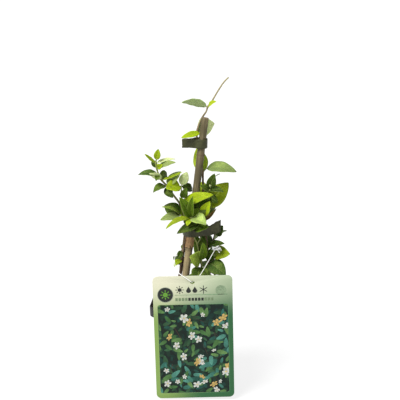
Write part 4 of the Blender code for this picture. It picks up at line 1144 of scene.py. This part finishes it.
class VINE_OT_label(bpy.types.Operator):
    """Cut the card and print its border, care signs and picture"""

    bl_idname = "vine.label"
    bl_label = "Label"

    def execute(self, context):
        settings = context.scene.vine_label
        self.cut_card(settings)
        self.print_face(settings)
        return {"FINISHED"}

    def cut_card(self, settings):
        """The card with round corners, its hole and its slightly rounded edges."""
        bm = bmesh.new()
        uv = bm.loops.layers.uv.new("card")
        square(bm)
        bmesh.ops.scale(bm, vec=(LABEL_WIDTH * MM, LABEL_HEIGHT * MM, 1), verts=bm.verts)
        round_off(bm, list(bm.verts), settings.corner, 8)
        edge = list(bm.edges)
        bmesh.ops.delete(bm, geom=list(bm.faces), context="FACES_ONLY")
        hole = bmesh.ops.create_circle(bm, radius=1.0, segments=24)["verts"]
        bmesh.ops.scale(bm, vec=(LABEL_HOLE_HALF_WIDTH * MM, LABEL_HOLE_HALF_HEIGHT * MM, 1), verts=hole)
        bmesh.ops.translate(bm, vec=(0, LABEL_HOLE_HEIGHT * MM, 0), verts=hole)
        ring = list({e for v in hole for e in v.link_edges})
        bmesh.ops.triangle_fill(bm, use_beauty=True, edges=edge + ring, normal=(0, 0, 1))
        bmesh.ops.recalc_face_normals(bm, faces=bm.faces)
        lifted = verts_of(bmesh.ops.extrude_face_region(bm, geom=list(bm.faces)))
        bmesh.ops.translate(bm, vec=(0, 0, settings.thickness), verts=lifted)
        bmesh.ops.translate(bm, vec=(0, 0, -settings.thickness / 2), verts=bm.verts)
        bmesh.ops.recalc_face_normals(bm, faces=bm.faces)
        rims = [e for e in bm.edges if len(e.link_faces) == 2 and e.calc_face_angle() > 1.0]
        round_off(bm, rims, LABEL_EDGE_ROUNDING * MM, 2, "EDGES")
        for face in bm.faces:
            for loop in face.loops:
                place = loop.vert.co
                loop[uv].uv = (place.x / (LABEL_WIDTH * MM) + 0.5, place.y / (LABEL_HEIGHT * MM) + 0.5)
        upright = Matrix.Translation(LABEL_CENTRE * MM) @ card_turn()
        bmesh.ops.transform(bm, matrix=upright, verts=bm.verts)
        piece = piece_from(bm, "label_card", [card_material(settings)], "label")
        piece.data.set_sharp_from_angle(angle=math.radians(30))

    def print_face(self, settings):
        """All that is printed, as flat shapes a hair's breadth apart."""
        bm = bmesh.new()
        tint = bm.verts.layers.float_color.new("tint")
        face = settings.thickness / 2
        layers = {name: face + (k + 1) * INK_LAYER_RISE * MM for k, name in enumerate(INK_LAYERS)}
        self.foliage(bm, tint, layers, random.Random(settings.print_seed))
        self.trim(bm)
        self.panel(bm, tint, layers)
        self.header(bm, tint, layers)
        piece_from(bm, "label_print", [ink_material()], "label")

    def trim(self, bm):
        """Cuts off what is printed past the picture's four sides."""
        centre = on_card(0, 0)
        for x, y in ((PICTURE_LOW[0], 0), (PICTURE_HIGH[0], 0), (0, PICTURE_LOW[1]), (0, PICTURE_HIGH[1])):
            edge = on_card(x, y)
            everything = [*bm.verts, *bm.edges, *bm.faces]
            bmesh.ops.bisect_plane(bm, geom=everything, plane_co=edge, plane_no=edge - centre,
                                   clear_outer=True)

    def disc(self, bm, tint, place, colour, sides):
        """A round spot."""
        verts = bmesh.ops.create_circle(bm, cap_ends=True, radius=1.0, segments=sides, matrix=place)["verts"]
        paint(verts, tint, colour)

    def plate(self, bm, tint, low, high, radius, lift, colours):
        """A rectangle with round corners between two corners, shaded from the first colour to the second."""
        middle = ((low[0] + high[0]) / 2, (low[1] + high[1]) / 2)
        verts = square(bm)
        bmesh.ops.scale(bm, vec=(high[0] - low[0], high[1] - low[1], 1), verts=verts)
        before = set(bm.verts) - set(verts)
        round_off(bm, verts, radius, 6)
        made = [v for v in bm.verts if v not in before]
        for vert in made:
            vert[tint] = (*blend_colour(*colours, 0.5 + vert.co.x / (high[0] - low[0])), 1.0)
        bmesh.ops.transform(bm, matrix=card_matrix(*middle, lift=lift), verts=made)

    def panel(self, bm, tint, layers):
        """The picture's thin frame and its dark ground."""
        edge = ((0.24, 0.34, 0.15), (0.10, 0.25, 0.12))
        ground = ((0.006, 0.012, 0.009), (0.004, 0.012, 0.010))
        self.plate(bm, tint, (-38.7, -65.2), (38.2, 38.7), 2.9, layers["frame"], edge)
        self.plate(bm, tint, (-38.3, -64.8), (37.8, 38.3), 2.5, layers["ground"], ground)

    def foliage(self, bm, tint, layers, chance):
        """A generic hedge: leaves in three layers, with open cream and yellow blossoms spread over them."""
        greens = {
            "back": ((0.003, 0.009, 0.006), (0.008, 0.028, 0.016)),
            "mid": ((0.008, 0.030, 0.013), (0.024, 0.070, 0.030)),
            "front": ((0.026, 0.080, 0.022), (0.085, 0.165, 0.050)),
        }
        for layer, (low, high) in greens.items():
            for number in range(PRINTED_ROWS * PRINTED_COLUMNS):
                row, column = divmod(number, PRINTED_COLUMNS)
                if layer != "back" and chance.random() < 0.5:
                    continue
                size = chance.uniform(2.6, 6.2)
                x = -36.5 + column * 6.6 + chance.uniform(-2.6, 2.6)
                y = -62.5 + row * 6.2 + chance.uniform(-2.4, 2.4)
                step = (row % 4 * 4 + column % 4) * 0.0012 * MM
                place = card_matrix(x, y, chance.uniform(0, math.tau), size, layers[layer] + step)
                hue = blend_colour(low, high, chance.random())
                cool = (hue[0] * 0.6, hue[1], hue[1] * 0.75)
                self.printed_leaf(bm, tint, place, cool if chance.random() < 0.3 else hue)
        for number in range(16):
            x, y = chance.uniform(-28, 28), chance.uniform(-54, 28)
            turn, size = chance.uniform(0, math.tau), chance.uniform(4, 9)
            place = card_matrix(x, y, turn, size, layers["front"] - 0.0006 * MM)
            self.bar(bm, tint, place, (-0.03, -1.0), (0.03, 1.0), (0.06, 0.026, 0.02))
        for number, (x, y) in enumerate(BLOSSOM_PLACES):
            for bloom in range(chance.choice((1, 2, 3, 4))):
                warm = chance.random() < 0.36
                petal = (0.52, 0.36, 0.12) if warm else (0.58, 0.59, 0.54)
                size = chance.uniform(2.6, 5.4)
                across = x + chance.uniform(-6.5, 6.5)
                up = y + chance.uniform(-6.5, 6.5)
                lift = layers["top"] + (number % 5 * 4 + bloom) * 0.009 * MM
                tilt = Matrix.Diagonal((1.0, chance.uniform(0.5, 1.0), 1.0, 1.0))
                place = card_matrix(across, up, chance.uniform(0, math.tau), size, lift) @ tilt
                self.printed_blossom(bm, tint, place, petal, chance)

    def printed_leaf(self, bm, tint, place, colour):
        """A pointed oval, lighter towards its tip."""
        verts = bmesh.ops.create_circle(bm, cap_ends=True, radius=1.0, segments=12)["verts"]
        for vert in verts:
            vert.co.x *= 0.42 * (1 - 0.35 * vert.co.y)
            lit = tuple(c * 1.7 for c in colour)
            vert[tint] = (*blend_colour(colour, lit, 0.5 + vert.co.y / 2), 1.0)
        bmesh.ops.transform(bm, matrix=place, verts=verts)

    def printed_blossom(self, bm, tint, place, petal, chance):
        """Five petals round a small eye, darker towards it."""
        throat = tuple(c * 0.62 for c in petal)
        for number in range(5):
            verts = bmesh.ops.create_circle(bm, cap_ends=True, radius=0.5, segments=10)["verts"]
            turn = Matrix.Rotation(number * math.tau / 5 + chance.uniform(-0.15, 0.15), 4, "Z")
            for vert in verts:
                vert.co.x *= 0.62 + 0.3 * vert.co.y
                vert.co.y += 0.55
                vert[tint] = (*blend_colour(throat, petal, min(1.0, vert.co.y * 1.2)), 1.0)
            lift = Matrix.Translation((0, 0, 0.0015 * (number % 3)))
            bmesh.ops.transform(bm, matrix=place @ lift @ turn, verts=verts)
        eye = place @ Matrix.Translation((0, 0, 0.008)) @ Matrix.Scale(0.16, 4)
        self.disc(bm, tint, eye, (0.62, 0.45, 0.10), 8)

    def header(self, bm, tint, layers):
        """The rule line, and plain care signs: a sun on a dark disc, then a second sun, water and frost."""
        dark = (0.022, 0.024, 0.022)
        frame_lift = layers["frame"]
        rule_line = ((0.16, 0.26, 0.12), (0.08, 0.22, 0.10))
        self.plate(bm, tint, (-19.5, 49.2), (37.5, 49.7), 0.2, frame_lift, rule_line)
        self.disc(bm, tint, card_matrix(-29.6, 50.0, 0, 8.7, frame_lift), (0.25, 0.28, 0.22), 48)
        self.disc(bm, tint, card_matrix(-29.6, 50.0, 0, 8.1, layers["ground"]), dark, 48)
        self.sun(bm, tint, -29.6, 50.0, 5.4, layers["back"], (0.12, 0.30, 0.035))
        self.disc(bm, tint, card_matrix(30.4, 54.0, 0, 5.8, frame_lift), (0.22, 0.30, 0.18), 40)
        self.sun(bm, tint, -14.0, 55.3, 4.6, frame_lift, dark)
        for x in (-4.4, 2.4):
            self.drop(bm, tint, x, 54.4, 4.4, frame_lift, dark)
        self.flake(bm, tint, 11.6, 55.3, 4.6, frame_lift, dark)
        for month in range(12):
            place = card_matrix(-17.6 + month * 3.5, 44.4, 0, 1.0, frame_lift)
            shade = dark if 4 <= month <= 8 else (0.16, 0.22, 0.12)
            self.bar(bm, tint, place, (-1.3, -1.7), (1.3, 1.7), shade)

    def sun(self, bm, tint, x, y, size, lift, colour):
        """A disc with eight rays."""
        self.disc(bm, tint, card_matrix(x, y, 0, size * 0.48, lift), colour, 20)
        for ray in range(8):
            place = card_matrix(x, y, ray * math.tau / 8, size, lift)
            self.bar(bm, tint, place, (-0.09, 0.6), (0.09, 1.0), colour)

    def flake(self, bm, tint, x, y, size, lift, colour):
        """Six arms, for frost."""
        for arm in range(6):
            place = card_matrix(x, y, arm * math.tau / 6, size, lift + arm * 0.001 * MM)
            self.bar(bm, tint, place, (-0.09, 0.0), (0.09, 1.0), colour)

    def drop(self, bm, tint, x, y, size, lift, colour):
        """A water drop with its point upwards."""
        verts = bmesh.ops.create_circle(bm, cap_ends=True, radius=0.62, segments=20)["verts"]
        for vert in verts:
            if vert.co.y > 0:
                vert.co.x *= max(0.0, 1 - vert.co.y / 0.7)
                vert.co.y *= 1.7
        paint(verts, tint, colour)
        bmesh.ops.transform(bm, matrix=card_matrix(x, y, 0, size, lift), verts=verts)

    def bar(self, bm, tint, place, low, high, colour):
        """A plain rectangle between two corners."""
        verts = square(bm)
        for vert in verts:
            vert.co.x = low[0] if vert.co.x < 0 else high[0]
            vert.co.y = low[1] if vert.co.y < 0 else high[1]
        paint(verts, tint, colour)
        bmesh.ops.transform(bm, matrix=place, verts=verts)


class VINE_OT_thread(bpy.types.Operator):
    """Lay the thread that hangs the label on the plant"""

    bl_idname = "vine.thread"
    bl_label = "Label Thread"

    def execute(self, context):
        radius = context.scene.vine_label.thread_radius
        white = thread_material()
        route = [mm(p) for p in THREAD_ROUTE]
        line = catmull_rom([route[-1], *route, route[0]], 6)[6:-1]
        cord_from("label_thread_white", [line], radius, 3, white, closed=True)
        self.lock()
        ends = [catmull_rom([mm(p) for p in end], 5) for end in THREAD_ENDS]
        cord_from("label_thread_ends", ends, radius * 0.8, 2, white)
        return {"FINISHED"}

    def lock(self):
        """The clear tab that the thread is knotted through, 9.5 mm long and crumpled."""
        bm = bmesh.new()
        grid = bmesh.ops.create_grid(bm, x_segments=14, y_segments=6, size=0.5)["verts"]
        middle_x, middle_y, middle_z = THREAD_LOCK_PLACE
        for vert in grid:
            x = vert.co.x * 9.5
            y = vert.co.y * (4.2 - 1.2 * abs(vert.co.x))
            crumple = 1.5 * noise(Vector((x, y, 4)) / 2.4)
            vert.co = mm((middle_x + x, middle_y + crumple - 0.03 * x * x, middle_z + y - 0.10 * x))
        piece = piece_from(bm, "label_thread_lock", [clear_material()], "label_thread")
        thicken(piece, "Tab", 0.0003, -1.0)


def square_ring(bm, width, corner, height):
    """A square face with round corners at one height. Returns its edges."""
    round_off(bm, square(bm, width / 2), corner, 8)
    bmesh.ops.translate(bm, vec=(0, 0, height), verts=bm.verts)
    return list(bm.edges)


def turn_all(bm, angle):
    """Turns everything about the upright axis."""
    bmesh.ops.rotate(bm, cent=(0, 0, 0), matrix=Matrix.Rotation(angle, 3, "Z"), verts=bm.verts)


def extrude_to(bm, edges, old_width, width, rise):
    """Extrudes a ring of edges up by `rise` and scales it to a new width. Returns the new edges."""
    verts = verts_of(bmesh.ops.extrude_edge_only(bm, edges=edges))
    bmesh.ops.scale(bm, vec=(width / old_width, width / old_width, 1), verts=verts)
    bmesh.ops.translate(bm, vec=(0, 0, rise), verts=verts)
    return [e for e in bm.edges if e.verts[0] in verts and e.verts[1] in verts]


class VINE_OT_pot(bpy.types.Operator):
    """Mould the square pot with its rim band and drain holes"""

    bl_idname = "vine.pot"
    bl_label = "Pot"

    def execute(self, context):
        settings = context.scene.vine_pot
        top = POT_HEIGHT * MM
        step = top - settings.rim_height
        throat = settings.rim_width - 2 * settings.rim_step
        wall = settings.wall
        rim = settings.rim_width
        profile = [
            (settings.foot_width, 0.0), (settings.foot_width + 0.0012, 0.0010), (throat, step - 0.0004),
            (throat + 0.0012, step + 0.0001), (rim - 0.0016, step + 0.0006), (rim - 0.0006, step + 0.0014),
            (rim, top - 0.0006), (rim - 0.0005, top), (rim - 2 * wall + 0.0004, top),
            (rim - 2 * wall, top - 0.0004), (rim - 0.0008 - 2 * wall, step + 0.001 + wall),
            (throat - 2 * wall, step + wall), (settings.foot_width + 0.001 - 2 * wall, wall),
        ]
        bm = bmesh.new()
        edges = square_ring(bm, profile[0][0], settings.corner * 0.75, 0.0)
        bmesh.ops.reverse_faces(bm, faces=bm.faces)
        for (width, height), (next_width, next_height) in zip(profile, profile[1:]):
            edges = extrude_to(bm, edges, width, next_width, next_height - height)
        bmesh.ops.contextual_create(bm, geom=edges)
        bmesh.ops.recalc_face_normals(bm, faces=bm.faces)
        turn_all(bm, settings.turn)
        piece = piece_from(bm, "pot_moulding", [pot_material()], "pot")
        piece.data.set_sharp_from_angle(angle=math.radians(35))
        self.drill(piece, settings)
        return {"FINISHED"}

    def drill(self, piece, settings):
        """Cuts the four drain holes in the floor."""
        bm = bmesh.new()
        distance, radius = DRAIN_HOLE_DISTANCE * MM, DRAIN_HOLE_RADIUS * MM
        for number in range(4):
            angle = settings.turn + math.pi / 4 + number * math.pi / 2
            place = Matrix.Translation((distance * math.cos(angle), distance * math.sin(angle), 0.0))
            bmesh.ops.create_cone(bm, cap_ends=True, segments=32, radius1=radius, radius2=radius,
                                  depth=6 * settings.wall, matrix=place)
        drills = object_from("drain_drills", mesh_from(bm, "drain_drills"))
        boolean = piece.modifiers.new("Drain Holes", "BOOLEAN")
        boolean.operation = "DIFFERENCE"
        boolean.object = drills
        bpy.context.view_layer.update()
        graph = bpy.context.evaluated_depsgraph_get()
        drilled = bpy.data.meshes.new_from_object(piece.evaluated_get(graph))
        piece.modifiers.remove(boolean)
        piece.data = drilled
        bpy.data.objects.remove(drills, do_unlink=True)


class VINE_OT_soil(bpy.types.Operator):
    """Fill the pot with crumbly compost"""

    bl_idname = "vine.soil"
    bl_label = "Soil"

    def execute(self, context):
        settings = context.scene.vine_pot
        chance = random.Random(settings.soil_seed)
        top = SOIL_BOX[1][2] - SOIL_LUMP_ROOM
        level = top - 0.0001
        width = settings.rim_width - 2 * settings.rim_step - 2 * settings.wall - SOIL_SIDE_GAP
        foot = settings.foot_width - 2 * settings.wall
        bm = bmesh.new()
        edges = square_ring(bm, foot, settings.corner * 0.7, settings.wall + SOIL_FLOOR_GAP)
        bmesh.ops.reverse_faces(bm, faces=bm.faces)
        edges = extrude_to(bm, edges, foot, width, top - settings.wall - SOIL_FLOOR_GAP)
        rings = (width, width * 0.95, width * 0.86, width * 0.76)
        for ring_width, next_width in zip(rings, rings[1:]):
            edges = extrude_to(bm, edges, ring_width, next_width, 0.0)
        lid = bmesh.ops.contextual_create(bm, geom=edges)["faces"]
        bmesh.ops.poke(bm, faces=lid)
        crust = [e for e in bm.edges if all(v.co.z > level for v in e.verts)]
        bmesh.ops.subdivide_edges(bm, edges=crust, cuts=5, use_grid_fill=True)
        for vert in bm.verts:
            if vert.co.z > level:
                inside = min(1.0, (width / 2 - max(abs(vert.co.x), abs(vert.co.y))) / 0.004)
                lumps = 0.0012 * noise(vert.co / 0.009) + 0.0007 * noise(vert.co / 0.0032)
                vert.co.z += max(0.0, inside) * lumps
        self.scatter(bm, width, top, chance)
        bmesh.ops.recalc_face_normals(bm, faces=bm.faces)
        turn_all(bm, settings.turn)
        piece_from(bm, "soil_compost", [soil_material(), grit_material()], "soil")
        return {"FINISHED"}

    def scatter(self, bm, width, top, chance):
        """Crumbs, chips of bark and grains of perlite, half sunk in the surface."""
        for number in range(CRUMB_COUNT):
            x = chance.uniform(-0.47, 0.47) * width
            y = chance.uniform(-0.47, 0.47) * width
            size = chance.uniform(0.0006, 0.0019)
            long = chance.uniform(1.0, 2.6) if number % 5 else 3.4
            turn = Matrix.Rotation(chance.uniform(0, math.tau), 4, "Z")
            turn = turn @ Matrix.Rotation(chance.uniform(-0.5, 0.5), 4, "Y")
            place = Matrix.Translation((x, y, top + 0.0004)) @ turn @ Matrix.Diagonal((long, 1.0, 0.6, 1.0))
            verts = bmesh.ops.create_icosphere(bm, subdivisions=1, radius=size, matrix=place)["verts"]
            for vert in verts:
                vert.co += Vector((1, 1, 1)) * 0.25 * size * noise(vert.co / size)
            if number % 14 == 0:
                for face in {f for v in verts for f in v.link_faces}:
                    face.material_index = 1


class VINE_OT_stage(bpy.types.Operator):
    """Set the pale floor, the soft light and the camera"""

    bl_idname = "vine.stage"
    bl_label = "Stage"

    def execute(self, context):
        settings = context.scene.vine_stage
        scene = context.scene
        self.floor(settings)
        self.light(scene, settings)
        self.camera(scene, settings)
        return {"FINISHED"}

    def floor(self, settings):
        """A wide pale floor that glows a little, as under studio light."""
        bm = bmesh.new()
        square(bm, FLOOR_HALF_WIDTH)
        floor = object_from("floor", mesh_from(bm, "floor"))
        made, nodes, shader, _ = new_material("pale_floor")
        nodes.feed(shader.inputs["Base Color"], FLOOR_GREY)
        nodes.feed(shader.inputs["Emission Color"], (1.0, 1.0, 1.0))
        shader.inputs["Emission Strength"].default_value = settings.glow
        shader.inputs["Roughness"].default_value = 1.0
        shader.inputs["Specular IOR Level"].default_value = 0.0
        floor.data.materials.append(made)

    def light(self, scene, settings):
        """An even white surround, and one soft key light from the upper left."""
        world = bpy.data.worlds.new("white_surround")
        world.use_nodes = True
        background = world.node_tree.nodes["Background"]
        background.inputs["Color"].default_value = (1.0, 1.0, 1.0, 1.0)
        background.inputs["Strength"].default_value = settings.sky
        scene.world = world
        lamp = bpy.data.lights.new("soft_sun", "SUN")
        lamp.energy = settings.sun
        lamp.angle = SUN_SOFTNESS
        object_from("soft_sun", lamp).rotation_euler = SUN_TURN
        scene.view_settings.view_transform = "Standard"

    def camera(self, scene, settings):
        """The camera, looking down a little at the middle of the plant."""
        lens = bpy.data.cameras.new("camera")
        lens.lens = LENS
        lens.sensor_width = SENSOR_WIDTH
        lens.clip_end = 60.0
        camera = object_from("camera", lens)
        target = mm(LOOK_AT)
        back = Vector((0, -math.cos(settings.look_down), math.sin(settings.look_down)))
        camera.location = target + back * settings.distance
        camera.rotation_euler = (-back).to_track_quat("-Z", "Y").to_euler()
        scene.camera = camera


OPERATORS = (
    VINE_OT_stage,
    VINE_OT_thread,
    VINE_OT_foliage,
    VINE_OT_cane,
    VINE_OT_ties,
    VINE_OT_label,
    VINE_OT_pot,
    VINE_OT_soil,
)
SETTINGS = {
    "vine_plant": VineSettings,
    "vine_cane": CaneSettings,
    "vine_tie": TieSettings,
    "vine_label": LabelSettings,
    "vine_pot": PotSettings,
    "vine_stage": StageSettings,
}


class VINE_PT_pieces(bpy.types.Panel):
    """Lists the steps that build the plant"""

    bl_label = "Honeysuckle Vine"
    bl_idname = "VINE_PT_pieces"
    bl_space_type = "VIEW_3D"
    bl_region_type = "UI"
    bl_category = "Vine"

    def draw(self, context):
        """A button for each step, then the settings in their groups."""
        for operator in OPERATORS:
            self.layout.operator(operator.bl_idname)
        for key, kind in SETTINGS.items():
            box = self.layout.box()
            for prop in kind.__annotations__:
                box.prop(getattr(context.scene, key), prop)


def register():
    """Adds the settings, the steps and the panel to Blender."""
    for kind in (*SETTINGS.values(), *OPERATORS, VINE_PT_pieces):
        bpy.utils.register_class(kind)
    for key, kind in SETTINGS.items():
        setattr(bpy.types.Scene, key, PointerProperty(type=kind))


def unregister():
    """Takes them out again."""
    for key in SETTINGS:
        delattr(bpy.types.Scene, key)
    for kind in reversed((*SETTINGS.values(), *OPERATORS, VINE_PT_pieces)):
        bpy.utils.unregister_class(kind)


def main():
    """Runs every step in order."""
    register()
    for operator in OPERATORS:
        group_name, step = operator.bl_idname.split(".")
        getattr(getattr(bpy.ops, group_name), step)()


if __name__ == "__main__":
    main()
